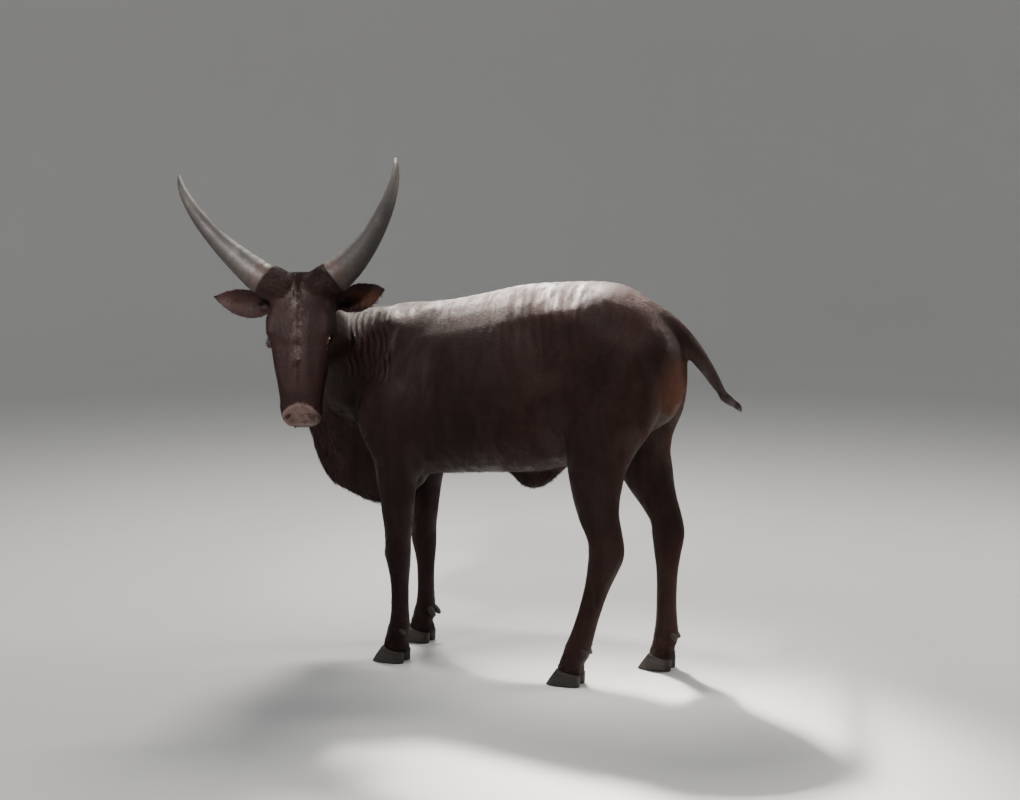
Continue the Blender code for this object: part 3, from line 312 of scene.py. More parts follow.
# Claw: how far it leans back, height, half length and half width.
CLAW = (
    (-0.0200, 0.0000, 0.0520, 0.0194),
    (-0.0200, 0.0015, 0.0552, 0.0217),
    (-0.0198, 0.0040, 0.0562, 0.0226),
    (-0.0125, 0.0260, 0.0497, 0.0224),
    (-0.0040, 0.0480, 0.0422, 0.0210),
    (0.0030, 0.0720, 0.0357, 0.0188),
)

# Dewclaw: distance along its path, then the radius.
SPUR = ((0.0, 0.0115), (0.016, 0.0133), (0.028, 0.0113), (0.037, 0.0070), (0.0405, 0.0025))

# Where each form's skin lies on the flat unwrap that the tufts are laid out on: left, low, right, high.
UNWRAP = {
    "torso": (0.01, 0.01, 0.61, 0.39),
    "neck": (0.63, 0.01, 0.99, 0.25),
    "dewlap": (0.63, 0.27, 0.99, 0.39),
    "skull": (0.01, 0.41, 0.33, 0.69),
    "left_fore": (0.35, 0.41, 0.50, 0.69),
    "right_fore": (0.52, 0.41, 0.67, 0.69),
    "left_hind": (0.69, 0.41, 0.84, 0.69),
    "right_hind": (0.86, 0.41, 0.99, 0.69),
    "ear_left": (0.01, 0.71, 0.24, 0.99),
    "ear_right": (0.26, 0.71, 0.49, 0.99),
    "tail": (0.51, 0.71, 0.74, 0.99),
    "sheath": (0.76, 0.71, 0.85, 0.99),
    "boss_left": (0.87, 0.71, 0.92, 0.99),
    "boss_right": (0.94, 0.71, 0.99, 0.99),
}
PATCH = 0.003
SUNK = 0.0008
COAT_NAME = "short_coat"
# The way the hair lies over the trunk: back and a little down.
TRUNK_LIE = np.array((1.0, 0.0, -0.35))

# Lights: name, place, target, size, power, colour, and how many degrees wide the beam is.
LIGHTS = (
    ("key", (-1.1, 1.7, 4.4), (0.0, 0.0, 0.9), 1.0, 190.0, (1.0, 0.965, 0.91), 180.0),
    ("sun", (-1.3, 1.9, 4.4), (0.34, -0.1, 1.25), 0.4, 30.0, (1.0, 0.95, 0.88), 22.0),
    ("croup", (0.0, -0.5, 4.3), (0.36, -0.15, 1.2), 0.5, 3.5, (1.0, 0.97, 0.96), 24.0),
    ("fill", (-2.8, -4.4, 3.8), (0.0, 0.0, 0.8), 1.6, 75.0, (0.93, 0.96, 1.0), 180.0),
    ("face", (-0.50, -3.30, 2.85), (-0.60, -0.50, 1.20), 0.30, 2.8, (1.0, 0.98, 1.0), 22.0),
    ("rim", (3.6, 2.4, 3.0), (0.3, 0.0, 1.0), 1.4, 90.0, (1.0, 0.98, 0.95), 180.0),
)


def filled(table, fill):
    """A table with smooth rows put between its own, by a Catmull-Rom curve through every column."""
    table = np.asarray(table, dtype=float)
    ends = np.vstack([2.0 * table[0] - table[1], table, 2.0 * table[-1] - table[-2]])
    at = np.arange((len(table) - 1) * fill + 1)
    index = np.minimum(at // fill, len(table) - 2)
    t = (at / fill - index)[:, None]
    a, b, c, d = (ends[index + k] for k in range(4))
    return 0.5 * (2.0 * b + (c - a) * t + (2.0 * a - 5.0 * b + 4.0 * c - d) * t ** 2
                  + (3.0 * b - a - 3.0 * c + d) * t ** 3)


def unit(vectors):
    """The same vectors, each one metre long."""
    vectors = np.asarray(vectors, dtype=float)
    return vectors / np.maximum(np.linalg.norm(vectors, axis=-1, keepdims=True), 1e-12)


def ease(low, high, value):
    """0 below the low value, 1 above the high one, and 3tt - 2ttt between them."""
    t = np.clip((value - low) / (high - low), 0.0, 1.0)
    return t * t * (3.0 - 2.0 * t)


def bell(value, width):
    """1 at zero, falling as exp(-(value / width) squared)."""
    return np.exp(-(value / width) ** 2)


def head_frame():
    """Matrix that takes (down the face, to the left, out of the face) to the body's own axes."""
    gaze = Vector((-math.cos(HEAD_TURN), -math.sin(HEAD_TURN), 0.0))
    up = Vector((0.0, 0.0, 1.0))
    along = gaze * math.cos(FACE_DROP) - up * math.sin(FACE_DROP)
    outward = gaze * math.sin(FACE_DROP) + up * math.cos(FACE_DROP)
    along = Matrix.Rotation(HEAD_LEAN, 3, outward) @ along
    turn = Matrix((along, outward.cross(along), outward)).transposed().to_4x4()
    return np.array(Matrix.Translation(POLL) @ turn)


HEAD = head_frame()
LEFT, OUT = HEAD[:3, 1], HEAD[:3, 2]


def on_head(rows):
    """Places on the head, given along its own three directions, in the body's frame."""
    return np.asarray(rows) @ HEAD[:3, :3].T + HEAD[:3, 3]


def in_head(rows):
    """Places in the body's frame, given along the head's own three directions."""
    return (np.asarray(rows) - HEAD[:3, 3]) @ HEAD[:3, :3]


def sided(row, side):
    """The same place or direction on the head's left (1) or right (-1) side."""
    return np.asarray(row) * (1.0, side, 1.0)


def size_away(local, place, size):
    """How far each place is from another, each direction in parts of its own size."""
    return np.linalg.norm((local - place) / size, axis=1)


def superellipse(sides, power):
    """Around a ring: sign(cos a) |cos a|^(2/p) and sign(sin a) |sin a|^(2/p), for one power or many."""
    angle = 2.0 * np.pi * np.arange(sides) / sides
    c, s = np.cos(angle), np.sin(angle)
    turn = 2.0 / np.asarray(power, dtype=float)
    return np.sign(c) * np.abs(c) ** turn, np.sign(s) * np.abs(s) ** turn


def carried(table, across, sides=20, fill=3, power=2.2):
    """Rings carried along a path: centre + wide w cos a + deep r sin a, w and r read from the table."""
    table = filled(table, fill)
    centre = table[:, :3]
    tangent = unit(np.gradient(centre, axis=0))
    across = np.asarray(across, dtype=float)
    wide = unit(across - tangent * (tangent @ across)[:, None])
    deep = np.cross(tangent, wide)
    c, s = superellipse(sides, power)
    reach = np.where(s[None, :] > 0.0, table[:, 4:5], table[:, 5:6])
    return (centre[:, None] + wide[:, None] * (table[:, 3:4] * c)[..., None]
            + deep[:, None] * (reach * s)[..., None])


def flap(table, sides, fill):
    """Rings between a free edge and a sunk one: middle + reach cos a + across h sin a."""
    table = filled(table, fill)
    edge, root, half = table[:, :3], table[:, 3:6], table[:, 6:7]
    centre = (edge + root) / 2.0
    reach = (edge - root) / 2.0
    across = unit(np.cross(np.gradient(centre, axis=0), reach))
    c, s = superellipse(sides, 2.4)
    return centre[:, None] + reach[:, None] * c[:, None] + across[:, None] * (half * s)[..., None]


def two_halves(sides, upper, lower):
    """Ring of cosines and sines whose upper half has one power and whose lower half another."""
    high = np.sin(2.0 * np.pi * np.arange(sides) / sides) >= 0.0
    cu, su = superellipse(sides, upper)
    cl, sl = superellipse(sides, lower)
    return np.where(high, cu, cl), np.where(high, su, sl), high


def slices(table, sides, fill):
    """Upright rings across the body: y = -w c, z = middle + (top or floor reach) s."""
    x, top, floor, wide, middle, upper, lower = filled(table, fill).T[:, :, None]
    c, s, high = two_halves(sides, upper, lower)
    z = middle + s * np.where(high, top - middle, middle - floor)
    return np.stack([x + 0.0 * c, -wide * c, z], axis=2)


def skull_rings(table, sides, fill):
    """Rings across the head, flatter at the face (power 2.9) and narrower at the jaw (1.75)."""
    along, wide, face, jaw, middle = filled(table, fill).T[:, :, None]
    c, s, high = two_halves(sides, 2.9, 1.75)
    out = middle + s * np.where(high, face - middle, middle - jaw)
    return on_head(np.stack([along + 0.0 * c, wide * c, out], axis=2))


def horn_rows(side):
    """The horn's table for one side, with its sway and its loss of length, both growing with the rise."""
    rows = np.array(HORN) * (1.0, side, 1.0, 1.0)
    rise = np.clip(rows[:, 0] / rows[-1, 0], 0.0, 1.0)
    rows[:, 1] -= HORN_SWAY * rise ** 1.4
    rows[:, 0] += HORN_LOSS[side] * rise
    return rows


def past_hair(local, side):
    """How far each place on the head is past the edge of the hair around a horn."""
    return (local - sided(HORN_FOOT, side)) @ unit(sided(HORN_WAY, side))


def boss_rings(side):
    """Rings of the fleshy root of a horn, a little thicker than the horn, cut off at the hair's edge."""
    rows = filled(horn_rows(side), 5)[:15]
    radius = rows[:, 3:4] + 0.0030
    rings = carried(np.hstack([on_head(rows[:, :3]), radius, radius, radius]), OUT, 24, 1, 2.0)
    local = in_head(rings.reshape(-1, 3))
    past = np.maximum(past_hair(local, side) - 0.001, 0.0)
    local = local - past[:, None] * unit(sided(HORN_WAY, side))
    return on_head(local).reshape(rings.shape)


def ear_tip(local):
    """0 over most of the head, and 1 at the tips of the ears, where the hair is very short."""
    return ease(0.215, 0.270, np.abs(local[:, 1])) * (local[:, 0] > 0.02)


def ear_rings(side, fill=4, points=14):
    """Rings of a cupped leaf: the back is at -cup (1 - vv) for v from -1 to 1 and the inside a
    thickness nearer to the front, so the cup is open forward."""
    rows = np.array(EAR)
    reach = np.where(rows[:, 1] > rows[2, 1], EAR_REACH[side], 1.0)
    rows[:, 1] = rows[2, 1] + (rows[:, 1] - rows[2, 1]) * reach
    rows[:, 0] += EAR_HANG[side]
    rows[:, 1] *= side
    table = filled(rows, fill)
    centre = table[:, None, :3]
    tangent = unit(np.gradient(table[:, :3], axis=0))
    opening = np.array((0.25, 0.0, 1.0))
    front = unit(opening - tangent * (tangent @ opening)[:, None])[:, None]
    high = np.cross(tangent, front[:, 0])[:, None] * -side
    half, cup, thick = (table[:, k, None, None] for k in (3, 4, 5))
    v = np.linspace(-1.0, 1.0, points)[None, :, None]
    outer = centre + high * half * v - front * cup * (1.0 - v * v)
    inner = centre + high * half * v * 0.97 - front * (cup * (1.0 - v * v) - thick * (1.0 - 0.6 * v * v))
    return on_head(np.concatenate([outer, inner[:, ::-1]], axis=1))


def ball_rings(centre, pole, radius, turns, bands):
    """Rings of a sphere: centre + r (pole cos b + ring sin b), with b from nearly 0 to nearly pi."""
    pole = unit(pole)
    side = unit(np.cross(pole, (0.31, 0.17, 0.93)))
    other = np.cross(pole, side)
    b = np.linspace(0.02, np.pi - 0.02, bands)[:, None, None]
    a = 2.0 * np.pi * np.arange(turns)[None, :, None] / turns
    return centre + radius * (pole * np.cos(b) + (side * np.cos(a) + other * np.sin(a)) * np.sin(b))


def coronet(x, foot):
    """Height of the line where the claws begin: toe + (heel - toe) s, with s from 0 at the toe to 1."""
    return CORONET_TOE + (CORONET_HEEL - CORONET_TOE) * (x - foot[0] + CORONET_AHEAD) / CORONET_LENGTH


def leg_rings(place):
    """Rings of one leg, cut off below along the sloping line where the claws begin."""
    foot = FEET[place]
    if "fore" in place:
        side = math.copysign(1.0, foot[1])
        rows = np.array(FORE_LEG) * (1.0, side, 1.0, 1.0, 1.0, 1.0) + (*foot, 0.0, 0.0, 0.0, 0.0)
    else:
        rows = np.array(LEFT_HIND if "left" in place else RIGHT_HIND)
    rings = carried(rows[:, (0, 1, 2, 3, 5, 4)], (0.0, 1.0, 0.0), 24, 4, 2.1)
    rings[..., 2] = np.maximum(rings[..., 2], coronet(rings[..., 0], foot))
    return rings


def flesh_forms():
    """Each form of flesh as rings, with the way its hair lies along the rings, 1 or -1."""
    across = (0.0, 1.0, 0.0)
    forms = {
        "torso": (slices(TORSO, 32, 3), 1.0),
        "neck": (carried(NECK, (0.5, 1.0, 0.0), 24, 4, 2.2), -1.0),
        "dewlap": (flap(DEWLAP, 20, 4), 1.0),
        "sheath": (carried(SHEATH, across, 12, 3, 2.0), -1.0),
        "tail": (carried(TAIL, (0.6, 1.0, 0.2), 14, 3, 2.0), 1.0),
        "skull": (skull_rings(SKULL, 28, 4), 1.0),
    }
    for place in FEET:
        forms[place] = (leg_rings(place), 1.0)
    for word, side in SIDES.items():
        forms["boss_" + word] = (boss_rings(side), 1.0)
        forms["ear_" + word] = (ear_rings(side), 1.0)
    return forms


FORMS = flesh_forms()


def grid_faces(count, sides, start=0):
    """Four-cornered faces between rings, and one face over each end, as arrays of corner numbers."""
    i, k = np.meshgrid(np.arange(count - 1), np.arange(sides), indexing="ij")
    j = (k + 1) % sides
    quads = np.stack([i * sides + k, i * sides + j, (i + 1) * sides + j, (i + 1) * sides + k], axis=-1)
    first = np.arange(sides)[::-1][None]
    last = (count - 1) * sides + np.arange(sides)[None]
    return [quads.reshape(-1, 4) + start, first + start, last + start]


def new_piece(name, points, faces, smooth=True):
    """A mesh object from places and arrays of corner numbers, one array for each count of corners."""
    points = np.asarray(points, dtype=np.float32)
    counts = np.concatenate([np.full(len(group), group.shape[1]) for group in faces])
    corners = np.concatenate([group.ravel() for group in faces])
    mesh = bpy.data.meshes.new(name)
    mesh.vertices.add(len(points))
    mesh.vertices.foreach_set("co", points.ravel())
    mesh.loops.add(len(corners))
    mesh.loops.foreach_set("vertex_index", corners)
    mesh.polygons.add(len(counts))
    mesh.polygons.foreach_set("loop_start", np.cumsum(counts) - counts)
    mesh.update(calc_edges=True)
    mesh.polygons.foreach_set("use_smooth", np.full(len(counts), smooth))
    piece = bpy.data.objects.new(name, mesh)
    bpy.context.scene.collection.objects.link(piece)
    return piece


def ring_piece(name, grids):
    """One mesh object of several closed skins, each over its own rings, with faces turned outward."""
    points, faces, start = [], [], 0
    for rings in grids:
        count, sides = rings.shape[:2]
        points.append(rings.reshape(-1, 3))
        faces += grid_faces(count, sides, start)
        start += count * sides
    return outward(new_piece(name, np.concatenate(points), faces))


def outward(piece):
    """Turn every face of the piece outward."""
    work = bmesh.new()
    work.from_mesh(piece.data)
    bmesh.ops.recalc_face_normals(work, faces=work.faces)
    work.to_mesh(piece.data)
    work.free()
    return piece


def baked(piece):
    """Apply the piece's modifiers to its own mesh, and drop them and its vertex groups."""
    graph = bpy.context.evaluated_depsgraph_get()
    mesh = bpy.data.meshes.new_from_object(piece.evaluated_get(graph))
    piece.modifiers.clear()
    piece.vertex_groups.clear()
    piece.data = mesh
    return piece


def places(piece):
    """The piece's vertices as an array."""
    flat = np.empty(len(piece.data.vertices) * 3, np.float32)
    piece.data.vertices.foreach_get("co", flat)
    return flat.reshape(-1, 3).astype(float)


def normals(piece):
    """The piece's vertex normals as an array."""
    flat = np.empty(len(piece.data.vertices) * 3, np.float32)
    piece.data.vertex_normals.foreach_get("vector", flat)
    return flat.reshape(-1, 3).astype(float)


def set_places(piece, rows):
    """Put the piece's vertices at the rows of an array."""
    piece.data.vertices.foreach_set("co", np.ascontiguousarray(rows, dtype=np.float32).ravel())
    piece.data.update()


def weigh(piece, name, weights):
    """A vertex group with one weight for each vertex, in steps of a twentieth; gives its name."""
    group = piece.vertex_groups.new(name=name)
    steps = np.round(np.clip(weights, 0.0, 1.0) * 20).astype(int)
    for step in range(1, 21):
        chosen = np.flatnonzero(steps == step)
        group.add(chosen.tolist(), step / 20.0, 'REPLACE')
    return group.name


def carry_values(piece, values):
    """Write a number for each vertex under each name, for the materials to read."""
    for name, numbers in values.items():
        attribute = piece.data.attributes.new(name, 'FLOAT', 'POINT')
        attribute.data.foreach_set("value", np.ascontiguousarray(numbers, dtype=np.float32))


def settle(piece, material, slot, *nodes):
    """Move the piece into the part's frame, give it its finish, and let it stand for its solids."""
    set_places(piece, places(piece) + SHIFT)
    piece.data.materials.clear()
    piece.data.materials.append(material)
    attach(piece, "root")
    if nodes:
        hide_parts(*nodes)
    return piece


def line_distance(rows, start, end):
    """How far each place is from a stretch of line: |place - start - t line|, with t held from 0 to 1."""
    start = np.asarray(start, dtype=float)
    line = np.asarray(end, dtype=float) - start
    t = np.clip((rows - start) @ line / max(line @ line, 1e-12), 0.0, 1.0)
    return np.linalg.norm(rows - start - t[:, None] * line, axis=1)


def both_sides(strokes):
    """The strokes and their mirror images across the body's middle."""
    flip = np.array((1.0, -1.0, 1.0))
    return strokes + [(np.array(a) * flip, np.array(b) * flip, reach, amount)
                      for a, b, reach, amount in strokes]


def body_strokes():
    """Swells and furrows of the body: a line, how far it reaches, and how far it lifts the skin."""
    pairs = [
        ((-0.335, -0.075, 1.190), (-0.500, -0.170, 0.860), 0.035, 0.011),
        ((-0.505, -0.165, 0.850), (-0.515, -0.160, 0.820), 0.045, 0.012),
        ((-0.350, -0.205, 0.880), (-0.350, -0.205, 0.820), 0.080, 0.012),
        ((-0.255, -0.215, 1.050), (-0.285, -0.200, 0.720), 0.034, -0.012),
        ((-0.470, -0.140, 1.080), (-0.560, -0.150, 0.900), 0.045, -0.012),
        ((0.165, -0.200, 1.205), (0.200, -0.200, 1.195), 0.052, 0.014),
        ((0.480, -0.095, 1.120), (0.495, -0.095, 1.085), 0.045, 0.014),
        ((0.085, -0.215, 1.130), (0.125, -0.230, 1.020), 0.060, -0.018),
        ((0.330, -0.185, 1.190), (0.420, -0.150, 1.140), 0.050, -0.010),
        ((0.400, -0.175, 1.060), (0.400, -0.180, 1.020), 0.060, 0.008),
        ((0.150, -0.215, 0.900), (0.160, -0.190, 0.760), 0.040, -0.014),
        ((-0.455, -0.100, 0.660), (-0.455, -0.080, 0.640), 0.040, -0.006),
    ]
    for number in range(8):
        x = -0.190 + 0.040 * number
        pairs.append(((x + 0.020, -0.185, 1.160), (x - 0.040, -0.235, 0.820), 0.014, 0.0016))
        pairs.append(((x + 0.040, -0.185, 1.160), (x - 0.020, -0.235, 0.820), 0.014, -0.0016))
    for number in range(7):
        x = 0.000 + 0.036 * number
        pairs.append(((x, -0.070, 1.262), (x - 0.026, -0.190, 1.150), 0.011, 0.0020))
        pairs.append(((x + 0.018, -0.070, 1.262), (x - 0.008, -0.190, 1.150), 0.011, -0.0020))
    folds = [
        ((-0.610, -0.165, 1.150), (-0.600, -0.130, 0.960), 0.016, 0.011),
        ((-0.585, -0.140, 1.150), (-0.575, -0.120, 0.940), 0.013, -0.010),
        ((-0.640, -0.190, 1.170), (-0.635, -0.165, 0.980), 0.013, -0.010),
        ((-0.655, -0.215, 1.180), (-0.655, -0.190, 1.020), 0.014, 0.008),
    ]
    strokes = both_sides(pairs) + folds
    for number in range(15):
        x = -0.330 + 0.042 * number
        strokes.append(((x, -0.006, 1.300), (x, 0.006, 1.215), 0.015, 0.0020))
    for x, y in ((0.335, -0.185), (0.375, 0.180)):
        strokes.append(((x + 0.090, y, 0.960), (x + 0.060, y, 0.790), 0.028, -0.008))
        strokes.append(((x - 0.110, y, 0.960), (x - 0.105, y, 0.780), 0.050, 0.008))
    return strokes


def head_strokes():
    """Swells and furrows of the head: brow, cheek, eye pit, nose bridge, jaw, lips and forehead."""
    one = [
        ((0.160, 0.092, -0.020), (0.200, 0.096, -0.014), 0.020, 0.010),
        ((0.235, 0.074, -0.060), (0.330, 0.060, -0.080), 0.016, 0.006),
        ((0.250, 0.050, -0.010), (0.360, 0.045, -0.030), 0.018, -0.004),
        ((0.130, 0.075, -0.165), (0.170, 0.078, -0.150), 0.045, 0.010),
        ((0.100, 0.105, -0.060), (0.120, 0.105, -0.055), 0.020, -0.006),
        ((0.330, 0.055, -0.110), (0.380, 0.055, -0.105), 0.020, -0.004),
        ((0.440, 0.050, -0.055), (0.460, 0.045, -0.050), 0.016, 0.005),
        ((0.300, 0.070, -0.120), (0.240, 0.085, -0.150), 0.014, -0.003),
        ((0.420, 0.060, -0.118), (0.480, 0.040, -0.112), 0.010, 0.003),
        ((0.262, 0.074, -0.030), (0.300, 0.066, -0.045), 0.008, -0.003),
    ]
    strokes = [(on_head(sided(a, side)), on_head(sided(b, side)), reach, amount)
               for side in SIDES.values() for a, b, reach, amount in one]
    for a, b, reach, amount in (
            ((0.060, 0.0, 0.010), (0.110, 0.0, 0.010), 0.050, 0.006),
            ((0.000, 0.0, -0.030), (0.005, 0.0, -0.020), 0.045, -0.002),
            ((0.180, 0.0, 0.004), (0.250, 0.0, 0.000), 0.024, -0.003),
            ((0.102, 0.0, 0.004), (0.124, 0.0, 0.004), 0.013, 0.0022),
            ((0.218, 0.0, 0.002), (0.236, 0.0, 0.000), 0.010, 0.0020),
            ((0.298, 0.0, -0.006), (0.312, 0.0, -0.008), 0.010, 0.0018),
            ((0.470, 0.0, -0.040), (0.505, 0.0, -0.085), 0.006, -0.002)):
        strokes.append((on_head(a), on_head(b), reach, amount))
    return strokes


def sculpted(piece, strokes):
    """Move the skin along its normals by the sum of amount exp(-(distance / reach) squared)."""
    rows = places(piece)
    move = np.zeros(len(rows))
    for start, end, reach, amount in strokes:
        move += amount * bell(line_distance(rows, start, end), reach)
    set_places(piece, rows + normals(piece) * move[:, None])


def with_neck_folds(piece):
    """Upright creases on the inside of the neck's bend: depth cos(2 pi s / spacing), with s measured level
    across the bend, fading out at the ends of the bend."""
    rows, out = places(piece), normals(piece)
    s = rows @ FOLD_WAY
    z = rows[:, 2]
    first, last = FOLD_SPAN
    face = np.linalg.norm(in_head(rows) - (0.25, 0.0, -0.02), axis=1)
    mask = ease(first - 0.012, first + 0.012, s) * ease(last + 0.030, last - 0.010, s)
    mask *= ease(0.93, 1.02, z) * ease(1.235, 1.18, z) * ease(0.15, 0.55, out @ (0.39, -0.92, 0.0))
    mask *= ease(-0.06, -0.12, rows[:, 1]) * ease(0.15, 0.22, face)
    wave = s + 0.006 * np.sin(z * 23.0) + 0.004 * np.sin(z * 61.0 + 1.0)
    set_places(piece, rows + out * (mask * FOLD_DEPTH * np.cos(2.0 * np.pi * wave / FOLD_SPACING))[:, None])


def eye_axes(side):
    """The eye's centre and its three directions on the head: along the lids, up, and out."""
    out = unit(sided(EYE_GAZE, side))
    along = sided(EYE_ALONG, side)
    along = unit(along - out * (along @ out))
    return sided(EYE, side), along, np.cross(out, along) * side, out


def with_eyes(rows):
    """Open the lids: inside an almond |a|^1.7 + |b|^1.7 < 1 the skin sinks behind the eyeball, and around
    it the skin follows the ball at the thickness of a lid, with a crease above."""
    rows = in_head(rows)
    for side in SIDES.values():
        centre, along, up, out = eye_axes(side)
        local = (rows - centre) @ np.stack([along, up, out], axis=1)
        a, b, depth = local.T
        near = (np.hypot(a, b) < 0.055) & (depth > -0.004)
        a, b, depth = a[near], b[near], depth[near]
        q = (np.abs(a / OPENING[0]) ** 1.7 + np.abs(b / OPENING[1]) ** 1.7) ** (1.0 / 1.7)
        wide = np.hypot(a, b)
        ball = np.sqrt(np.maximum(EYE_RADIUS ** 2 - wide ** 2, 0.0))
        lid = np.sqrt(np.maximum((EYE_RADIUS + LID * 0.75) ** 2 - wide ** 2, 0.0))
        skin = depth + (np.maximum(lid, depth) - depth) * (1.0 - ease(1.2, 2.0, q))
        crease = np.where(b > 0.0, bell(q - 1.55, 0.16), 0.5 * bell(q - 1.5, 0.14))
        skin = skin - 0.0024 * crease + 0.0008 * bell(q - 1.15, 0.12)
        new = (ball - 0.006) + (skin - (ball - 0.006)) * ease(0.90, 1.06, q)
        rows[near] += (new - depth)[:, None] * out
    return on_head(rows)


def with_muzzle(piece):
    """Nostril pits, the line of the mouth with its lips, and the hollow at the root of each ear."""
    rows = places(piece)
    out = normals(piece)
    local = in_head(rows)
    move = np.zeros(len(rows))
    for side in SIDES.values():
        centre = sided(NOSTRIL, side)
        long_way = unit(sided((0.55, 0.62, -0.56), side))
        away = local - centre
        u = away @ long_way
        v = np.linalg.norm(away - u[:, None] * long_way, axis=1)
        bend = away @ unit(sided((0.7, -0.5, -0.4), side))
        q = np.hypot(u / 0.0160, (v + 0.25 * np.abs(bend)) / 0.0082)
        move += -0.0125 * np.exp(-q ** 4) + 0.0018 * bell(q - 1.5, 0.35)
        root = size_away(local, sided((0.072 + EAR_HANG[side], 0.130, -0.100), side), (0.013, 0.020, 0.030))
        move += -0.0080 * np.exp(-root ** 4) * ease(0.2, 0.6, out @ OUT)
    path = filled(MOUTH, 3)
    path = np.vstack([path, (path[:-1] * (1.0, -1.0, 1.0))[::-1]])
    near = local[:, 0] > 0.36
    gap = np.full(near.sum(), 1.0)
    for start, end in zip(path[:-1], path[1:]):
        gap = np.minimum(gap, line_distance(local[near], start, end))
    move[near] += -0.0048 * bell(gap, 0.0030) + 0.0022 * bell(gap - 0.0085, 0.0045)
    set_places(piece, rows + out * move[:, None])


def refined(piece, chosen):
    """Halve each edge whose two ends are chosen, and cut faces left with over four corners in triangles."""
    work = bmesh.new()
    work.from_mesh(piece.data)
    work.edges.ensure_lookup_table()
    ends = np.array([(edge.verts[0].index, edge.verts[1].index) for edge in work.edges])
    picked = np.flatnonzero(chosen[ends].all(axis=1))
    bmesh.ops.subdivide_edges(work, edges=[work.edges[k] for k in picked], cuts=1, use_grid_fill=True)
    bmesh.ops.triangulate(work, faces=[face for face in work.faces if len(face.verts) > 4])
    work.to_mesh(piece.data)
    work.free()


def fine_places(local):
    """Which places of the head need small faces: the eyes, the nostrils and the lips."""
    chosen = np.zeros(len(local), bool)
    for side in SIDES.values():
        chosen |= np.linalg.norm(local - sided(EYE + (0.0, 0.010, 0.012), side), axis=1) < 0.036
        chosen |= np.linalg.norm(local - sided(NOSTRIL, side), axis=1) < 0.032
    return chosen | ((local[:, 0] > 0.415) & (local[:, 2] > -0.125) & (local[:, 2] < -0.072))


def marks(rows, out):
    """Numbers for the materials at each place, from where it is and the way it faces: the reddish parts,
    with painted sunlight on the thighs' rear, the bare muzzle and its rim, the painted shade in the ears'
    cups, the glossy ridge of the nose, the ribs, the painted shade on the front of the body, and where
    hair runs down the legs or down the face."""
    local = in_head(rows)
    x, z = rows[:, 0], rows[:, 2]
    head = ease(0.34, 0.26, np.linalg.norm((local - (0.22, 0.0, -0.09)) * (1.0, 1.1, 1.0), axis=1))
    # The rear of the thighs: the coat's own reddish brown, painted brighter there as sunlight.
    rear = bell(x - 0.535, 0.060) * bell(z - 0.92, 0.17) + 0.6 * bell(x - 0.470, 0.050) * bell(z - 0.74, 0.08)
    for start, end in zip(TAIL[2:-1], TAIL[3:]):
        rear = rear * ease(0.036, 0.050, line_distance(rows, start[:3], end[:3]))
    ears = np.zeros(len(rows))
    cave = np.zeros(len(rows))
    for side in SIDES.values():
        leaf = size_away(local, sided((0.064 + EAR_HANG[side], 0.190, -0.108), side), (0.036, 0.075, 0.034))
        # The right ear's inside is painted with less of the reddish colour, as shade.
        ears = np.maximum(ears, EAR_WARMTH_AND_SHADE[side] * ease(1.15, 0.60, leaf))
        # Painted shade deep in the cup of each ear, where shade falls inside it.
        root = size_away(local, sided((0.072 + EAR_HANG[side], 0.142, -0.108), side), (0.024, 0.046, 0.030))
        cave = np.maximum(cave, ease(1.20, 0.40, root))
    inside = ease(-0.10, 0.35, out @ OUT)
    edge = 0.428 + 0.028 * (local[:, 1] / 0.055) ** 2
    pad = ease(edge - 0.002, edge + 0.010, local[:, 0]) * ease(-0.112, -0.104, local[:, 2])
    rim = bell(local[:, 0] - edge - 0.009, 0.0055) * ease(0.062, 0.050, np.abs(local[:, 1]))
    legs = ease(0.72, 0.60, z)
    ribs = ease(-0.06, 0.01, x) * ease(0.28, 0.22, x) * ease(1.02, 1.10, z)
    ribs = ribs * ease(0.03, 0.09, np.abs(rows[:, 1]))
    # Painted shade: the front of the body, most of all the neck and shoulder, is darkened in the coat's
    # colour.
    front = ease(0.28, -0.28, x) * (1.0 - head) * ease(1.22, 1.12, z)
    gloss = bell(local[:, 1], 0.024) * ease(0.03, 0.09, local[:, 0]) * ease(0.41, 0.36, local[:, 0])
    return {"warm": np.clip(np.maximum(rear, ears * inside), 0.0, 1.0), "bare": pad, "legs": legs,
            "face": head, "cave": cave * inside, "rim": rim * pad, "gloss": gloss * inside,
            "ribs": ribs, "front": front}


class Number:
    """A number that changes over a surface: a socket that Python's own operators work on."""

    def __init__(self, finish, socket):
        """Keep the finish whose nodes it belongs to, and the socket that gives it."""
        self.finish = finish
        self.socket = socket

    def maths(self, operation, first, second):
        """One Math node on two numbers."""
        return self.finish.node("ShaderNodeMath", {"operation": operation}, {0: first, 1: second})

    def __add__(self, other):
        """self + other"""
        return self.maths('ADD', self, other)

    def __radd__(self, other):
        """other + self"""
        return self.maths('ADD', other, self)

    def __sub__(self, other):
        """self - other"""
        return self.maths('SUBTRACT', self, other)

    def __rsub__(self, other):
        """other - self"""
        return self.maths('SUBTRACT', other, self)

    def __mul__(self, other):
        """self * other"""
        return self.maths('MULTIPLY', self, other)

    def __rmul__(self, other):
        """other * self"""
        return self.maths('MULTIPLY', other, self)

    def __truediv__(self, other):
        """self / other"""
        return self.maths('DIVIDE', self, other)

    def __pow__(self, other):
        """self to the power of other"""
        return self.maths('POWER', self, other)


